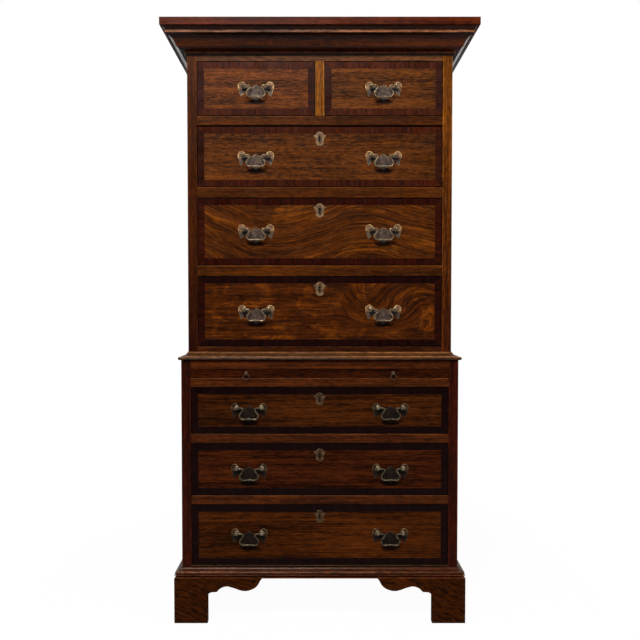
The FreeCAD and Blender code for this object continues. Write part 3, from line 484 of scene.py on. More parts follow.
def stood_up(mesh):
    """Turn what lies in the XY plane to stand in the XZ plane."""
    bmesh.ops.rotate(mesh, matrix=Matrix.Rotation(math.radians(90), 3, "X"), verts=mesh.verts)
    return mesh


def mirrored(mesh, side):
    """The mesh as it is for side 1, its mirror image for side -1."""
    bmesh.ops.scale(mesh, vec=(side, 1, 1), verts=mesh.verts)
    face_out(mesh)
    return mesh


def lay(mesh, name):
    """A place or a colour for each corner to carry."""
    return mesh.verts.layers.float_vector.new(name)


def lay_grain(mesh, along, stain_and_light=(1, 1, 1)):
    """Note on each corner where it lies on its board, so that the grain follows the board."""
    grain, stains_and_light = lay(mesh, "grain"), lay(mesh, "stain_and_light")
    start = Vector([chance.uniform(-9, 9) for _ in range(3)])
    for corner in mesh.verts:
        place = Vector([corner.co[(along + step) % 3] for step in range(3)])
        corner[grain] = place + start
        corner[stains_and_light] = stain_and_light


def block(low, high):
    """A square block between two corners."""
    mesh = bmesh.new()
    bmesh.ops.create_cube(mesh, size=1)
    bmesh.ops.scale(mesh, vec=Vector(high) - Vector(low), verts=mesh.verts)
    return moved(mesh, *(Vector(low) + Vector(high)) / 2)


def soften(mesh, edges, width, segments=2):
    bmesh.ops.bevel(
        mesh,
        geom=edges,
        offset=width,
        segments=segments,
        profile=0.5,
        affect="EDGES",
        material=-1,
    )


ALONG_X, ALONG_Z = 0, 2
ARRIS = 1.1 * MM
# Edge distances too far for any painted arris highlight.
NO_ARRIS_HIGHLIGHT = (1, 1, 1)
FLANK_STAIN = (0.85, 1.0, 1.4)


def board(low, high, along, stain_and_light=(1, 1, 1), arris=ARRIS):
    """A planed board that knows how far each corner lies from its arrises, where the painted highlight
    falls.
    """
    mesh = block(low, high)
    soften(mesh, mesh.edges[:], arris, 3)
    lay_grain(mesh, along, stain_and_light)
    edge = lay(mesh, "edge")
    for corner in mesh.verts:
        if along == ALONG_Z:
            corner[edge] = (corner.co.x - low[0], high[0] - corner.co.x, 1)
        else:
            corner[edge] = (1, 1, high[2] - corner.co.z)
    return mesh


def outer_board(low, high, along, stain_and_light, foot_stain_and_light):
    """A stile or a top rail: another stain at its foot, which carries painted light that changes down
    the board, and no painted arris highlight where it is covered.
    """
    mesh = board(low, high, along, stain_and_light)
    stains_and_light = mesh.verts.layers.float_vector["stain_and_light"]
    edge = mesh.verts.layers.float_vector["edge"]
    for corner in mesh.verts:
        # The lower half takes the foot stain with its painted light.
        if corner.co.z < (low[2] + high[2]) / 2:
            corner[stains_and_light] = foot_stain_and_light
        flank = corner.co.y > low[1] + 0.9 * ARRIS
        if along == ALONG_X or flank:
            corner[edge] = NO_ARRIS_HIGHLIGHT
        if along == ALONG_Z and flank:
            corner[stains_and_light] = FLANK_STAIN
    return mesh


def section_line(mesh, points):
    """Join up a few corners in the XY plane with edges."""
    corners = [mesh.verts.new((x, y, 0)) for x, y in points]
    for pair in zip(corners, corners[1:]):
        mesh.edges.new(pair)
    return corners


def closed_line(mesh, points):
    """Join up corners in the XY plane all the way round."""
    section_line(mesh, points + points[:1])
    merge(mesh)


def flat_shape(outline):
    """A flat face in the XY plane inside an outline."""
    mesh = bmesh.new()
    closed_line(mesh, outline)
    bmesh.ops.contextual_create(mesh, geom=mesh.edges[:])
    return mesh


def thickened(mesh, rise):
    """A flat shape drawn out along Z, then stood up."""
    made = bmesh.ops.extrude_face_region(mesh, geom=mesh.faces[:])
    bmesh.ops.translate(mesh, vec=(0, 0, rise), verts=fresh(BMVert, made))
    return stood_up(mesh)


def curve(start, through, end, count):
    """A round stretch of an outline as a few corners."""
    mesh = bmesh.new()
    start, through, end = (Vector((*point, 0)) for point in (start, through, end))
    first, second = (start + through) / 2, (through + end) / 2
    turn = Matrix.Rotation(math.radians(90), 3, "Z")
    one, two = turn @ (through - start), turn @ (end - through)
    cross = one.x * two.y - one.y * two.x
    gap = second - first
    centre = first + one * ((gap.x * two.y - gap.y * two.x) / cross)
    swing = (start - centre).to_2d().angle_signed((end - centre).to_2d())
    corner = mesh.verts.new(start)
    bmesh.ops.spin(
        mesh, geom=[corner], cent=centre, axis=(0, 0, 1), angle=-swing, steps=count, use_duplicate=False
    )
    points = [(vert.co.x, vert.co.y) for vert in mesh.verts]
    mesh.free()
    return points


def mm(points):
    return [(x * MM, y * MM) for x, y in points]


# ---- Front frames ----

STAIN_DIVIDER = (2.6, 3.4, 2.0)
STAIN_LOWER = (0.44, 0.22, 0.2)
# Stiles and the top rail take a (top, foot) pair whose difference is painted light: the stiles are
# painted darker towards the foot, and the top rail is painted in shade under the cornice and lighter at
# its foot.
UPPER_STAINS_AND_LIGHT = {
    "left": ((0.88, 0.8, 0.3), (0.36, 0.25, 0.25)),
    "right": ((1.85, 2.15, 0.65), (0.75, 0.55, 0.35)),
    "top": ((0.45, 0.7, 1.7), (1.6, 2.35, 5.8)),
    "rail": (0.9, 0.9, 0.4),
    "sill": (0.68, 0.6, 0.5),
}
LOWER_STAINS = {
    "left": (STAIN_LOWER, STAIN_LOWER),
    "right": (STAIN_LOWER, STAIN_LOWER),
    "top": ((0.88, 0.8, 0.8), (0.88, 0.8, 0.8)),
    "rail": (0.88, 0.82, 0.85),
    "sill": (0.88, 0.82, 0.85),
}


def opening(name, top_gap=TOP_GAP):
    """The hole in the front frame that a drawer or the slide runs in."""
    low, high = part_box(name)
    return low.z - SIDE_GAP, high.z + top_gap, low.x - SIDE_GAP, high.x + SIDE_GAP


def front_frame(low, high, openings, stains_and_light):
    """Two stiles, the rails between the openings and the top rail."""
    front, back_of_stile = low.y, low.y + STILE_DEPTH
    left, right = openings[0][2], openings[-1][3]
    boards = [
        outer_board((low.x, front, low.z), (left, back_of_stile, high.z), ALONG_Z, *stains_and_light["left"]),
        outer_board((right, front, low.z), (high.x, back_of_stile, high.z), ALONG_Z, *stains_and_light["right"]),
    ]
    floor = low.z
    for sill, head, _, _ in openings:
        if sill > floor + MM:
            stain_and_light = stains_and_light["sill"] if floor == low.z else stains_and_light["rail"]
            boards.append(board((left, front, floor), (right, front + RAIL_DEPTH, sill), ALONG_X, stain_and_light))
        floor = head
    boards.append(
        outer_board((left, front, floor), (right, back_of_stile, high.z), ALONG_X, *stains_and_light["top"])
    )
    return boards


upper_openings = [opening(f"{drawer}_front") for drawer in UPPER_DRAWERS[:2]]
upper_openings.append(opening(f"{UPPER_DRAWERS[2]}_front", WORN_TOP_GAP))
short_low, short_high, short_left, divider_left = opening(f"{SHORT_DRAWERS[0]}_front")
_, _, divider_right, short_right = opening(f"{SHORT_DRAWERS[1]}_front")
upper_openings.append((short_low, short_high, short_left, short_right))
upper_boards = front_frame(upper_low, upper_high, upper_openings, UPPER_STAINS_AND_LIGHT)
upper_boards.append(
    board(
        (divider_left, upper_low.y, short_low),
        (divider_right, upper_low.y + RAIL_DEPTH, short_high),
        ALONG_Z,
        STAIN_DIVIDER,
    )
)
piece("upper_front_frame", gather(upper_boards), case_oak, "chest", "oak", "upper_case_front_frame")

lower_openings = [opening(f"{drawer}_front") for drawer in LOWER_DRAWERS]
lower_openings.append(opening("brushing_slide"))
lower_boards = front_frame(lower_low, lower_high, lower_openings, LOWER_STAINS)
piece("lower_front_frame", gather(lower_boards), case_oak, "chest", "oak", "lower_case_front_frame")


# ---- Mouldings ----


def moulding(outline, half_width, front, bottom, stain_and_light, members=()):
    """Run a section (outward, up) round the front and both sides, mitred at the corners.

    Each member has the height it starts from, the height it ends at and its own stain; some members
    carry painted highlights and some painted shade.
    """
    mesh = bmesh.new()
    closed_line(mesh, outline)
    section = [(corner, corner.co.x, corner.co.y) for corner in mesh.verts]
    rings = [mesh.edges[:]]
    for station, (side, mitred) in enumerate(((-1, False), (-1, True), (1, True), (1, False))):
        if station:
            made = bmesh.ops.extrude_edge_only(mesh, edges=rings[-1])
            corners = fresh(BMVert, made)
            rings.append([edge for edge in fresh(BMEdge, made) if set(edge.verts) <= set(corners)])
            section = [(corner, out, up) for corner, (_, out, up) in zip(corners, section)]
        for corner, out, up in section:
            corner.co = (side * (half_width + out), front - out if mitred else back, bottom + up)
    bmesh.ops.contextual_create(mesh, geom=rings[0])
    bmesh.ops.contextual_create(mesh, geom=rings[-1])
    face_out(mesh)
    lay_grain(mesh, ALONG_X, stain_and_light)
    stains_and_light = mesh.verts.layers.float_vector["stain_and_light"]
    for low, high, member_stain_and_light in members:
        for corner in mesh.verts:
            if low * MM <= corner.co.z - bottom <= high * MM:
                corner[stains_and_light] = member_stain_and_light
    return mesh


# Sections and the heights of their members are in millimetres.
FASCIA_BACK, FASCIA_FACE = 66, 68
FASCIA_FOOT, CORNICE_TOP = 65.5, 87
# The lowest member and those at 10.9 and 44 mm are painted shade, the bead at 6 mm and the fillet at
# 48.4 mm painted highlights; the cove at 18 mm is the moulding's own tone.
CORNICE_MEMBERS = (
    (-0.1, 5, (0.06, 0.04, 0.02)),
    (6, 10.1, (2.5, 1.8, 1.3)),
    (10.9, 12, (0.3, 0.2, 0.08)),
    (18, 38, (0.68, 0.42, 0.06)),
    (44, 47.1, (0.2, 0.12, 0.03)),
    (48.4, 54.6, (2.5, 2.9, 3.4)),
)
cornice_outline = mm(
    [(0, 0), (3.5, 0)]
    + curve((3.5, 3), (7, 6.5), (3.5, 10), 6)
    + [(3.5, 11)]
    + curve((12.5, 11), (20.9, 13.5), (29.3, 24.7), 8)
    + curve((29.3, 24.7), (38.5, 38.4), (52.5, 47), 8)
    + [(54.5, 48.5), (54.5, 54.5)]
    + curve((54.5, 55), (58.5, 62), (FASCIA_BACK, FASCIA_FOOT), 7)
    + [(FASCIA_BACK, CORNICE_TOP), (0, CORNICE_TOP)]
)
upper_place = (sides_high.x, upper_low.y, cornice_low.z)
cornice = moulding(cornice_outline, *upper_place, (0.36, 0.2, 0.03), CORNICE_MEMBERS)
piece("cornice_moulding", cornice, moulding_oak, "chest", "oak", "cornice", smooth=35)

fascia_outline = mm(
    [
        (FASCIA_BACK, FASCIA_FOOT),
        (FASCIA_FACE, FASCIA_FOOT),
        (FASCIA_FACE, CORNICE_TOP),
        (FASCIA_BACK, CORNICE_TOP),
    ]
)
fascia = moulding(fascia_outline, *upper_place, (1, 0.7, 0.3))
piece("cornice_crossband", fascia, fascia_mahogany, "chest", "oak", smooth=35)

# The lowest member is painted shade; those at 9.3 and 21 mm are painted highlights.
WAIST_MEMBERS = (
    (-0.1, 2.5, (0.1, 0.1, 0.05)),
    (9.3, 11, (3.5, 4.8, 5.6)),
    (21, 24.1, (2.7, 3.3, 2.8)),
)
waist_outline = mm(
    [(0, 0)]
    + curve((22.5, 0), (27.5, 5), (22.5, 10), 8)
    + [(17.5, 10.6)]
    + curve((17.5, 12.5), (7, 16.5), (2.5, 21.5), 8)
    + [(2.5, 24), (0, 24)]
)
waist = moulding(
    waist_outline, sides_high.x, upper_low.y, lower_high.z, (0.8, 0.9, 0.6), WAIST_MEMBERS
)

LEDGE = 30
LEDGE_HEIGHT = 13
# The members at 0, 8.9 and 14 mm are painted highlights.
BASE_MEMBERS = (
    (-0.1, 0.1, (2.0, 1.7, 1.4)),
    (8.9, 9.4, (2.6, 2.3, 2.0)),
    (9.45, 12.6, (1.1, 0.9, 0.7)),
    (14, 19, (1.7, 1.7, 1.8)),
    (28, 30.1, (0.1, 0.08, 0.06)),
)
base_outline = mm(
    [(-LEDGE, 0), (21, 0), (21, 9), (20.5, 9.5), (14.75, 9.5), (14.75, 12.5)]
    + curve((14.75, 12.5), (18.5, 16.25), (14.75, 20), 8)
    + [(11.75, 20)]
    + curve((11.75, 20.5), (6.2, 23.2), (3, 27), 6)
    + [(3, 30), (0, 30), (0, LEDGE_HEIGHT), (-LEDGE, LEDGE_HEIGHT)]
)
base = moulding(
    base_outline, lower_high.x, lower_low.y, mouldings_low.z, (0.75, 0.62, 0.45), BASE_MEMBERS
)
back_rail = board(
    (-lower_high.x + LEDGE * MM, back - LEDGE * MM, mouldings_low.z),
    (lower_high.x - LEDGE * MM, back, mouldings_low.z + LEDGE_HEIGHT * MM),
    ALONG_X,
    (0.6, 0.55, 0.55),
)
piece(
    "waist_and_base",
    gather([waist, base, back_rail]),
    moulding_oak,
    "chest",
    "oak",
    "waist_and_base_mouldings",
    smooth=35,
)


# ---- Bracket feet ----

LEG = 101 * MM
FRONT_BRACKET = 266 * MM
SIDE_BRACKET = 222 * MM
BRACKET_BOARD = 20 * MM
BRACKET_ARRIS = 1.2 * MM
BACK_BEND = 40 * MM
GLUE_BLOCK = 40 * MM
GLUE_BLOCK_RISE = 10 * MM
FOOT_TOP = foot_high.z


def scrolled_outline(length):
    """The bracket's edge from the foot's outer bottom corner round its scrolls, in (along, up)."""
    spread = length - LEG

    def spot(share, rise):
        return (LEG + share * spread, rise * FOOT_TOP)

    line = [(0, 0), (LEG, 0)]
    line += curve(spot(0.0, 0.59), spot(0.025, 0.66), spot(0.09, 0.69), 5)
    line += curve(spot(0.17, 0.695), spot(0.225, 0.765), spot(0.31, 0.812), 5)
    line += curve(spot(0.36, 0.82), spot(0.47, 0.785), spot(0.56, 0.745), 5)
    line += curve(spot(0.58, 0.738), spot(0.7, 0.716), spot(0.82, 0.755), 6)
    line += curve(spot(0.84, 0.765), spot(0.915, 0.84), spot(0.955, 0.93), 5)
    return line + [(length, FOOT_TOP), (0, FOOT_TOP)]


def scrolled_bracket(length, mitred, place, side):
    """One scrolled board, its outer end cut at 45 degrees where it is mitred."""
    mesh = thickened(flat_shape(scrolled_outline(length)), -BRACKET_BOARD)
    if mitred:
        for corner in mesh.verts:
            if corner.co.x < TOUCHING < corner.co.y:
                corner.co.x += BRACKET_BOARD
    bmesh.ops.transform(mesh, matrix=place, verts=mesh.verts)
    mirrored(mesh, side)
    sharp = [edge for edge in mesh.edges if edge.calc_face_angle(0) > math.radians(40)]
    soften(mesh, sharp, BRACKET_ARRIS)
    lay_grain(mesh, ALONG_X)
    return mesh


def back_bracket(side):
    """The plain board of a back foot, with a quarter-round inner corner."""
    leg = LEG - BRACKET_BOARD
    inward = BACK_BEND * (1 - math.sqrt(0.5))
    bend = curve(
        (leg, FOOT_TOP - BACK_BEND), (leg + inward, FOOT_TOP - inward), (leg + BACK_BEND, FOOT_TOP), 8
    )
    mesh = thickened(flat_shape([(0, 0), (leg, 0)] + bend + [(0, FOOT_TOP)]), -BRACKET_BOARD)
    mirrored(moved(mesh, foot_low.x + BRACKET_BOARD, foot_high.y - BRACKET_BOARD), side)
    lay_grain(mesh, ALONG_X, (0.7, 0.7, 0.7))
    return mesh


def glue_blocks(side):
    """The blocks glued into the corners behind a side's front and back brackets."""
    inner = foot_low.x + BRACKET_BOARD
    left, right = sorted((side * inner, side * (inner + GLUE_BLOCK)))
    return [
        board(
            (left, front, GLUE_BLOCK_RISE),
            (right, front + GLUE_BLOCK, FOOT_TOP),
            ALONG_Z,
            (0.6, 0.6, 0.6),
        )
        for front in (foot_low.y + BRACKET_BOARD, foot_high.y - BRACKET_BOARD - GLUE_BLOCK)
    ]


def feet():
    """Scrolled brackets at the front and the sides, plain ones and blocks behind."""
    front_corner = Matrix.Translation((foot_low.x, foot_low.y, 0))
    back_corner = Matrix.Translation((foot_low.x, foot_high.y, 0))
    to_side = Matrix.Rotation(math.radians(90), 4, "Z") @ Matrix.Scale(-1, 4, Vector((0, 1, 0)))
    brackets = (
        (FRONT_BRACKET, True, front_corner),
        (SIDE_BRACKET, True, front_corner @ to_side),
        (SIDE_BRACKET, False, back_corner @ Matrix.Rotation(math.radians(-90), 4, "Z")),
    )
    meshes = [scrolled_bracket(*bracket, side) for side in (1, -1) for bracket in brackets]
    for side in (1, -1):
        meshes += glue_blocks(side) + [back_bracket(side)]
    return gather(meshes)


piece("feet", feet(), feet_oak, "chest", "oak", "bracket_feet", smooth=35)


# ---- Boards kept as the CAD has them ----

for case in ("upper", "lower"):
    dress(f"{case}_case_sides", side_oak)
    dress(f"{case}_case_inner_boards", inner_pine)
dress("case_backs", inner_pine)
dress("brushing_slide", slide_oak)
for drawer in DRAWERS:
    dress(f"{drawer}_front", front_oaks[drawer])
    dress(f"{drawer}_lining", lining_oak)


# ---- Crossbanding ----

BAND_WIDTH = 21 * MM
BAND_BOARD = 1.6 * MM
BAND_ARRIS = 0.35 * MM
# The stains of the level strips and of the upright ones; on the upper drawers they also carry a painted
# grey sheen, strongest on the top ones.
BAND_STAINS_AND_SHEEN = {
    "top_left_drawer": ((1.3, 1.6, 1.9), (0.7, 0.8, 1.3)),
    "top_right_drawer": ((1.25, 1.5, 1.6), (0.75, 1.05, 2.0)),
    "upper_drawer_high": ((1.0, 1.0, 0.7), (0.7, 0.85, 1.0)),
    "upper_drawer_middle": ((0.6, 0.4, 0.25), (0.75, 0.6, 0.4)),
    "upper_drawer_low": ((0.24, 0.2, 0.4), (0.5, 0.35, 0.3)),
}
LOWER_BAND_STAINS = ((0.16, 0.12, 0.35), (0.18, 0.12, 0.3))


def crossbanding(drawer):
    """Four mitred strips of cross-grained mahogany let into the drawer's face."""
    low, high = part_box(f"{drawer}_front")
    middle = (low + high) / 2
    places = ((middle.x, high.z), (high.x, middle.z), (middle.x, low.z), (low.x, middle.z))
    stains_and_light = BAND_STAINS_AND_SHEEN.get(drawer, LOWER_BAND_STAINS)
    strips = []
    for index, (x, z) in enumerate(places):
        upright = index % 2
        length = high.z - low.z if upright else high.x - low.x
        strip = block((-length / 2, 0, -BAND_WIDTH), (length / 2, BAND_BOARD, 0))
        for corner in strip.verts:
            if corner.co.z < -BAND_WIDTH / 2:
                corner.co.x -= math.copysign(BAND_WIDTH, corner.co.x)
        soften(strip, strip.edges[:], BAND_ARRIS)
        lay_grain(strip, ALONG_Z, stains_and_light[upright])
        rim = lay(strip, "edge")
        for corner in strip.verts:
            corner[rim] = (-corner.co.z, 0, 0)
        turn = Matrix.Rotation(math.radians(90 * index), 4, "Y")
        place = Matrix.Translation((x, low.y, z)) @ turn
        bmesh.ops.transform(strip, matrix=place, verts=strip.verts)
        strips.append(strip)
    node = f"{drawer}_crossbanding"
    piece(f"{drawer}_bands", gather(strips), crossband, drawer, "mahogany", node)


for drawer in DRAWERS:
    crossbanding(drawer)


# ---- Brass ----

LOBE_POLISH = (3.0, 2.7, 2.1, 1)


def polish_and_painted_shadow(finish, tone):
    """Lobes rubbed bright, and painted shadow at a plate's foot under its bail and below its posts.

    Places are from the middle between the posts.
    """
    spot = finish.laid("spot")
    height = finish.parts(spot)[2]
    halved = finish.vector("ABSOLUTE", spot)
    # Painted shadow of the bail on the plate's foot.
    foot = finish.span(height, -38 * MM, -33 * MM, 0.16)
    # Painted shadow under each post.
    below_post = finish.reach(halved, (34 * MM, 0, 9.5 * MM), (1, 0, 1.25))
    posts = finish.span(below_post, 7.5 * MM, 10 * MM, 0.06)
    posts = finish.maths("MAXIMUM", posts, finish.span(height, -3 * MM, 1 * MM))
    outer = finish.span(finish.parts(halved)[0], 27 * MM, 31 * MM)
    lobe = finish.maths("MULTIPLY", outer, finish.span(height, -12 * MM, -2 * MM))
    tone = finish.times(tone, finish.ramp(lobe, (0.0, 1.0), (1.0, LOBE_POLISH)))
    return finish.times(tone, finish.maths("MULTIPLY", foot, posts))


def painted_keyhole_shade(finish, tone):
    """Painted shade round a keyhole, inside the rubbed edge of its escutcheon."""
    reach = finish.reach(finish.laid("spot"), (0, 0, -21.5 * MM), (1, 0, 0.46))
    return finish.times(tone, finish.span(reach, 4.6 * MM, 8.6 * MM, 0.2))


def brass(name, shine, dull, gloss, bare=0.85, dirt=None, sheen=0.5):
    """Old cast metal, bright in patches, with dark and dull tarnish between them."""
    finish = Finish(name)
    place = finish.here()
    cloud = finish.noise(place, scale=110, detail=5, roughness=0.65)
    grit = finish.noise(place, scale=900, detail=3, roughness=0.6)
    patina = finish.blend(0.35, cloud, grit)
    tone = finish.ramp(patina, (0.42, dull), (0.6, shine))
    if dirt:
        tone = dirt(finish, tone)
    finish.set(
        {
            "Base Color": tone,
            "Metallic": finish.ramp(patina, (0.4, bare * 0.6), (0.6, bare)),
            "Specular IOR Level": sheen,
            "Roughness": finish.ramp(cloud, (0.35, gloss + 0.18), (0.65, gloss)),
        }
    )
    finish.bump(cloud, 0.5 * MM, 0.6)
    return finish


# The lower case's brasses are the darker ones.
LOWER_BRASS = {
    "plate": brass("plate_brass_low", tint(40, 26, 17), tint(16, 10, 7), 0.5, 0.1, polish_and_painted_shadow, 0.15),
    "plate_rim": brass("plate_rim_brass_low", tint(92, 76, 54), tint(34, 25, 17), 0.4, 0.6, polish_and_painted_shadow),
    "post": brass("post_brass_low", tint(172, 152, 122), tint(84, 68, 50), 0.36),
    "bar": brass("rim_brass_low", tint(136, 118, 92), tint(56, 44, 32), 0.36),
    "shield": brass(
        "escutcheon_brass_low", tint(124, 86, 52), tint(56, 36, 19), 0.45, 0.3, painted_keyhole_shade, 0.2
    ),
}
upper_bar = brass("rim_brass", tint(178, 154, 120), tint(86, 66, 46), 0.36)
UPPER_BRASS = {
    "plate": brass("plate_brass", tint(106, 80, 62), tint(44, 30, 22), 0.5, 0.25, polish_and_painted_shadow),
    "plate_rim": brass("plate_rim_brass", tint(182, 154, 118), tint(92, 70, 48), 0.38, 0.85, polish_and_painted_shadow),
    "post": upper_bar,
    "bar": upper_bar,
    "shield": brass("escutcheon_brass", tint(164, 124, 80), tint(92, 66, 38), 0.45, 0.4, painted_keyhole_shade),
}
ring_brass = brass("ring_brass", tint(126, 90, 70), tint(50, 34, 26), 0.4, 0.6)
# A near-black finish for the keyhole's sheet: painted shade.
keyhole_shade_black = brass("keyhole_shade_black", tint(14, 9, 6), tint(6, 4, 3), 0.7, 0.05, sheen=0.05)
lock_iron = brass("lock_iron", tint(110, 100, 90), tint(60, 52, 46), 0.5)

# Half outlines in (across, up), and turned profiles in (radius, forward), all in millimetres.
PLATE_HALF = [
    (0, 5), (5, 2.2), (10, -1), (15, -3.5), (21, -3), (27, 0), (31, 5),
    (35, 11), (42, 14), (49, 12), (54, 6), (55, -1), (53, -9), (50.5, -16),
    (49.5, -22), (46, -31), (42, -26.5), (37, -24), (38.6, -20.5), (37.6, -17.5),
    (34, -16.2), (30.6, -17.4), (28.4, -20.5), (28, -24.5), (26, -29),
    (20, -34), (11, -36), (6, -38.5), (2.6, -43), (0, -45),
]
ESCUTCHEON_HALF = [
    (0, 0), (6, -1.2), (10.5, -5), (12.2, -9.6), (20.5, -11.2), (17, -15.5),
    (13.4, -20.5), (11.8, -27), (12.6, -33), (10.2, -39), (5.4, -42.4), (0, -43),
]
KEYHOLE = [
    (0, -13.4), (2.4, -14.4), (3.4, -17), (2.4, -19.4), (1.7, -20.6), (2.8, -31),
    (-2.8, -31), (-1.7, -20.6), (-2.4, -19.4), (-3.4, -17), (-2.4, -14.4),
]
POST = [
    (0, -26), (2, -26), (2, 1.2), (7.2, 1.2), (7.4, 2.6), (6, 3.4), (3.4, 4.4),
    (2.9, 7.4), (4.2, 8.6), (5.4, 10.4), (5.7, 12.4), (5, 14.8), (3.2, 16.4), (0, 17),
]
EYE_POST = [
    (0, 0), (5.8, 0), (5.6, 1.6), (3.4, 2.6), (2.6, 6),
    (3.6, 8), (4.4, 10.5), (4.4, 12.5), (3.2, 15), (0, 16),
]
LOBE_RING = [(8.2, 1.4), (9.4, 2.9), (10.6, 1.4), (9.4, 1), (8.2, 1.4)]
NUT = [(0, -25), (5.6, -25), (5.6, -20), (0, -20)]
STAND_OFF = 12 * MM
POST_OFFSET = 38.2 * MM
LOBE_OFFSET = 5 * MM
LOBE_RISE = 2.5 * MM
PIN_START = 35.8 * MM
PIN_RADIUS = 1.6 * MM
BAR_RADIUS = 2.1 * MM
PLATE_BOARD = 1.6 * MM
SHIELD_BOARD = 1.2 * MM
LOWER_SHIELD_SCALE = (0.94, 1, 0.89)
CROWN_DROP = 15.5 * MM
LOCK_HALF_WIDTH = 31 * MM
LOCK_DROP = 37 * MM
LOCK_FRONT, LOCK_BACK = 9 * MM, 20 * MM
LOCK_ARRIS = 0.6 * MM
# Corners that a plate's rim crowds closer than this become one.
CROWDED = 0.45 * MM
# Which of its three finishes a face of a plate or an escutcheon takes.
FIELD, RIM = 0, 1
POSTS = KEYHOLE_SHADE_COAT = 2
# A plate's face steps in by (width, rise, finish): a raised rim, its flat top, the field.
PLATE_STEPS = ((0.35, 0.3, RIM), (0.9, 0.0, RIM), (0.5, -0.5, FIELD))


def flat_plate(half_outline, thickness, hole=None):
    """A cast plate from half of its outline, mirrored, in the XZ plane with its back at Y 0.

    The outline's corners are rounded by the plate's own thickness.
    """
    mesh = bmesh.new()
    corners = section_line(mesh, mm(half_outline))[1:-1]
    bmesh.ops.bevel(
        mesh, geom=corners, offset=thickness, segments=3, profile=0.5, affect="VERTICES", material=-1
    )
    bmesh.ops.mirror(mesh, geom=mesh.verts[:] + mesh.edges[:], axis="X", merge_dist=1e-5)
    merge(mesh)
    if hole:
        closed_line(mesh, mm(hole))
        bmesh.ops.triangle_fill(mesh, edges=mesh.edges[:], use_beauty=True)
    else:
        bmesh.ops.contextual_create(mesh, geom=mesh.edges[:])
    thickened(mesh, thickness)
    face_out(mesh)
    face = [item for item in mesh.faces if item.normal.y < -0.9]
    for width, rise, coat in PLATE_STEPS:
        made = bmesh.ops.inset_region(
            mesh, faces=face, thickness=width * MM, depth=rise * MM, use_even_offset=not hole
        )
        for item in made["faces"]:
            item.material_index = coat
        if not hole:
            bmesh.ops.remove_doubles(mesh, verts=face[0].verts, dist=CROWDED)
            face = [max((item for item in mesh.faces if item.normal.y < -0.9), key=BMFace.calc_area)]
    face_out(mesh)
    return mesh


def coated(mesh, coat):
    for face in mesh.faces:
        face.material_index = coat
    return mesh


def keyhole_shade():
    """A near-black sheet in the keyhole: painted shade for the dark lock behind it."""
    mesh = flat_shape(mm(KEYHOLE))
    bmesh.ops.solidify(mesh, geom=mesh.faces[:], thickness=0.5 * MM)
    stood_up(mesh)
    moved(mesh, y=-max(corner.co.y for corner in mesh.verts))
    face_out(mesh)
    return coated(mesh, KEYHOLE_SHADE_COAT)


def spun(mesh, steps):
    """Spin a profile all the way round the Y axis."""
    bmesh.ops.spin(
        mesh,
        geom=mesh.verts[:] + mesh.edges[:],
        cent=(0, 0, 0),
        axis=(0, 1, 0),
        angle=2 * math.pi,
        steps=steps,
        use_merge=True,
        use_duplicate=False,
    )
    merge(mesh)
    face_out(mesh)
    return mesh


def turned(profile, steps=20):
    """A turned piece from its profile (radius, how far it stands forward), about the Y axis."""
    mesh = bmesh.new()
    section_line(mesh, [(radius * MM, -forward * MM) for radius, forward in profile])
    return spun(mesh, steps)


def lay_spots(mesh):
    """Keep each corner's place in the fitting, for its tarnish."""
    spots = lay(mesh, "spot")
    for corner in mesh.verts:
        corner[spots] = corner.co
    return mesh


def handle_fittings():
    """Back plate, two posts and, inside the drawer, their nuts."""
    parts = [flat_plate(PLATE_HALF, PLATE_BOARD)]
    for side in (-1, 1):
        place = side * POST_OFFSET
        post = coated(turned(POST), POSTS)
        ring = coated(moved(turned(LOBE_RING), side * LOBE_OFFSET, 0, LOBE_RISE), RIM)
        parts += [moved(post, place), moved(ring, place), moved(turned(NUT, 6), place)]
    return lay_spots(gather(parts))


def bail_bar():
    """Swan-necked bail, bent from a bar that starts as a pin in its post."""
    mesh = bmesh.new()
    bmesh.ops.create_circle(mesh, cap_ends=True, segments=10, radius=PIN_RADIUS)
    bmesh.ops.rotate(mesh, matrix=Matrix.Rotation(math.radians(-90), 3, "Y"), verts=mesh.verts)
    moved(mesh, PIN_START)
    end = mesh.faces[:]

    def draw(x, z, swell=1.0):
        """Draw the bar's end out in a straight line, by so many millimetres."""
        nonlocal end
        made = bmesh.ops.extrude_face_region(mesh, geom=end)
        corners = fresh(BMVert, made)
        bmesh.ops.delete(mesh, geom=end, context="FACES_ONLY")
        end = fresh(BMFace, made)
        bmesh.ops.translate(mesh, vec=(x * MM, 0, z * MM), verts=corners)
        middle = sum((corner.co for corner in corners), Vector()) / len(corners)
        bmesh.ops.scale(mesh, vec=(swell,) * 3, space=Matrix.Translation(-middle), verts=corners)

    def bend(x, z, degrees, steps):
        """Bend the bar's end round a centre, given in millimetres."""
        nonlocal end
        made = bmesh.ops.spin(
            mesh,
            geom=end,
            cent=(x * MM, 0, z * MM),
            axis=(0, 1, 0),
            angle=math.radians(degrees),
            steps=steps,
            use_duplicate=False,
        )
        faces = [item for item in made["geom_last"] if isinstance(item, BMFace)]
        bmesh.ops.delete(mesh, geom=end, context="FACES_ONLY")
        end = faces

    draw(-3, 0)
    draw(-1.6, 0, BAR_RADIUS / PIN_RADIUS)
    draw(-8.4, 0)
    bend(22.8, -5, -127.5, 7)
    draw(6.2, -8.1, 1.12)
    bend(17.2, -23.6, 127.5, 9)
    draw(-9, 0.4)
    draw(-8.2, 1.1, 0.94)
    bmesh.ops.delete(mesh, geom=end, context="FACES_ONLY")
    # The last ring of corners goes to the middle, where the two halves meet.
    for corner in mesh.verts:
        if corner.co.x < 3 * MM and corner.co.z < -20 * MM:
            corner.co.x = 0
    half = mesh.verts[:] + mesh.edges[:] + mesh.faces[:]
    bmesh.ops.mirror(mesh, geom=half, axis="X", merge_dist=1e-5)
    merge(mesh)
    face_out(mesh)
    return mesh


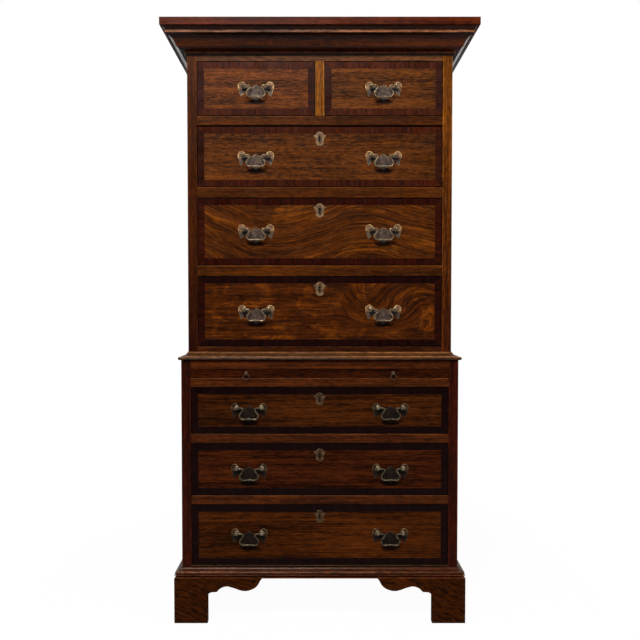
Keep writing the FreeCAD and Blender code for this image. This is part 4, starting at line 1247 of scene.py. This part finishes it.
def fit_handles(drawer, coats):
    """Hang the drawer's bails and screw on their plates and posts."""
    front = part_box(f"{drawer}_front")[0].y
    fittings = []
    for bail, pivot in bails_of(drawer):
        fittings.append(moved(handle_fittings(), pivot.x, front, pivot.z))
        bar = moved(bail_bar(), pivot.x, front - STAND_OFF, pivot.z)
        piece(f"{bail}_swan_neck", bar, coats["bar"], bail, "brass", bail, smooth=50)
    finishes = (coats["plate"], coats["plate_rim"], coats["post"])
    piece(f"{drawer}_plates", gather(fittings), finishes, drawer, "brass", f"{drawer}_brasses")


def fit_lock(drawer, coats):
    """Pin on the drawer's escutcheon, with the lock behind it."""
    low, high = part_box(f"{drawer}_front")
    crown = high.z - CROWN_DROP
    plate = flat_plate(ESCUTCHEON_HALF, SHIELD_BOARD, KEYHOLE)
    shield = lay_spots(gather([plate, keyhole_shade()]))
    if drawer in LOWER_DRAWERS:
        bmesh.ops.scale(shield, vec=LOWER_SHIELD_SCALE, verts=shield.verts)
    moved(shield, 0, low.y, crown)
    finishes = (coats["shield"], coats["bar"], keyhole_shade_black)
    piece(f"{drawer}_escutcheon", shield, finishes, drawer, "brass")
    lock = board(
        (-LOCK_HALF_WIDTH, low.y + LOCK_FRONT, crown - LOCK_DROP),
        (LOCK_HALF_WIDTH, low.y + LOCK_BACK, high.z),
        ALONG_X,
        arris=LOCK_ARRIS,
    )
    piece(f"{drawer}_lock", lock, lock_iron, drawer, "brass")


for drawer in DRAWERS:
    coats = LOWER_BRASS if drawer in LOWER_DRAWERS else UPPER_BRASS
    fit_handles(drawer, coats)
    if drawer in LONG_DRAWERS:
        fit_lock(drawer, coats)

RING_BAR = 1.5 * MM
RING_RADIUS = 9 * MM
RING_DROP = 9.6 * MM
RING_PINCH = 0.45
RING_UPPER_SCALE, RING_LOWER_SCALE = 0.98, 0.85


def ring_pull(body):
    """Drop ring of the slide, narrow where it hangs in its eye."""
    mesh = bmesh.new()
    bmesh.ops.create_circle(mesh, cap_ends=False, segments=8, radius=RING_BAR)
    spun(moved(mesh, RING_RADIUS), 24)
    for corner in mesh.verts:
        if corner.co.z > 0:
            pinch = min(1, corner.co.z / RING_RADIUS)
            corner.co.x *= 1 - RING_PINCH * pinch * pinch
            corner.co.z *= RING_UPPER_SCALE
        else:
            corner.co.z *= RING_LOWER_SCALE
    pivot = pivot_of(body)
    moved(mesh, pivot.x, pivot.y, pivot.z - RING_DROP)
    face_out(mesh)
    return mesh


eye_posts = []
for side in ("left", "right"):
    body = f"slide_{side}_ring"
    pivot = pivot_of(body)
    piece(f"slide_{side}_drop_ring", ring_pull(body), ring_brass, body, "brass", body, smooth=50)
    eye_posts.append(moved(turned(EYE_POST), pivot.x, pivot.y + STAND_OFF, pivot.z))
piece("slide_eye_posts", gather(eye_posts), LOWER_BRASS["bar"], "slide", "brass", "slide_pull_posts")


# ---- Stage, lamps and camera ----

WHITE = (1, 1, 1, 1)
CHEST_MIDDLE = (0, 0, 0.9)


def link(name, data):
    made = bpy.data.objects.new(name, data)
    bpy.context.scene.collection.objects.link(made)
    return made


def lamp(name, place, aim, size, power):
    data = bpy.data.lights.new(name, "AREA")
    data.shape = "RECTANGLE"
    data.size, data.size_y = size
    data.energy = power
    made = link(name, data)
    made.location = place
    made.rotation_euler = (Vector(aim) - Vector(place)).to_track_quat("-Z", "Y").to_euler()


def pale_floor():
    """A floor that keeps the shadow near the chest and shows white further off."""
    mesh = bmesh.new()
    bmesh.ops.create_grid(mesh, x_segments=1, y_segments=1, size=12)
    data = bpy.data.meshes.new("floor")
    mesh.to_mesh(data)
    mesh.free()
    floor = link("floor", data)
    finish = Finish("pale_floor")
    finish.set({"Base Color": (0.6, 0.6, 0.6, 1), "Roughness": 0.9})
    far = finish.span(finish.reach(finish.here()), 0.9, 3.0, 0.91, 1.0)
    seen = finish.add("ShaderNodeLightPath").outputs["Is Camera Ray"]
    share = finish.maths("MULTIPLY", seen, far)
    glow = finish.add("ShaderNodeEmission", {"Color": WHITE, "Strength": 1.06}).outputs[0]
    both = finish.add("ShaderNodeMixShader", {0: share, 1: finish.shader.outputs[0], 2: glow})
    finish.feed(finish.tree.nodes["Material Output"].inputs["Surface"], both.outputs[0])
    data.materials.append(finish.material)


def surroundings():
    """White to the camera and where gloss looks to the back, dim elsewhere."""
    world = bpy.data.worlds.new("studio")
    world.use_nodes = True
    bpy.context.scene.world = world
    air = Nodes(world.node_tree)
    ray = air.add("ShaderNodeLightPath").outputs
    seen = air.maths("MAXIMUM", ray["Is Camera Ray"], ray["Is Transmission Ray"])
    way = air.add("ShaderNodeTexCoord").outputs["Generated"]
    backward = air.span(air.parts(way)[1], -0.1, 0.5)
    shown = air.maths("MAXIMUM", seen, air.maths("MULTIPLY", ray["Is Glossy Ray"], backward))
    background = air.tree.nodes["Background"]
    air.feed(background.inputs["Color"], WHITE)
    air.feed(background.inputs["Strength"], air.span(shown, 0.0, 1.0, 0.16, 1.0))


def camera():
    data = bpy.data.cameras.new("camera")
    data.lens = 39.375
    data.sensor_width = 36
    data.shift_x = 0.0047
    data.shift_y = 0.015
    made = link("camera", data)
    made.location = (-0.0084, -2.331, 0.9507)
    made.rotation_euler = (math.radians(88.3), 0, 0)
    bpy.context.scene.camera = made


pale_floor()
surroundings()
lamp("window", place=(-0.6, -2.7, 3.7), aim=CHEST_MIDDLE, size=(1.5, 0.9), power=109)
lamp("fill", place=(2.8, -2.4, 1.9), aim=CHEST_MIDDLE, size=(1.6, 2.0), power=24)
camera()
bpy.context.scene.view_settings.view_transform = "Standard"
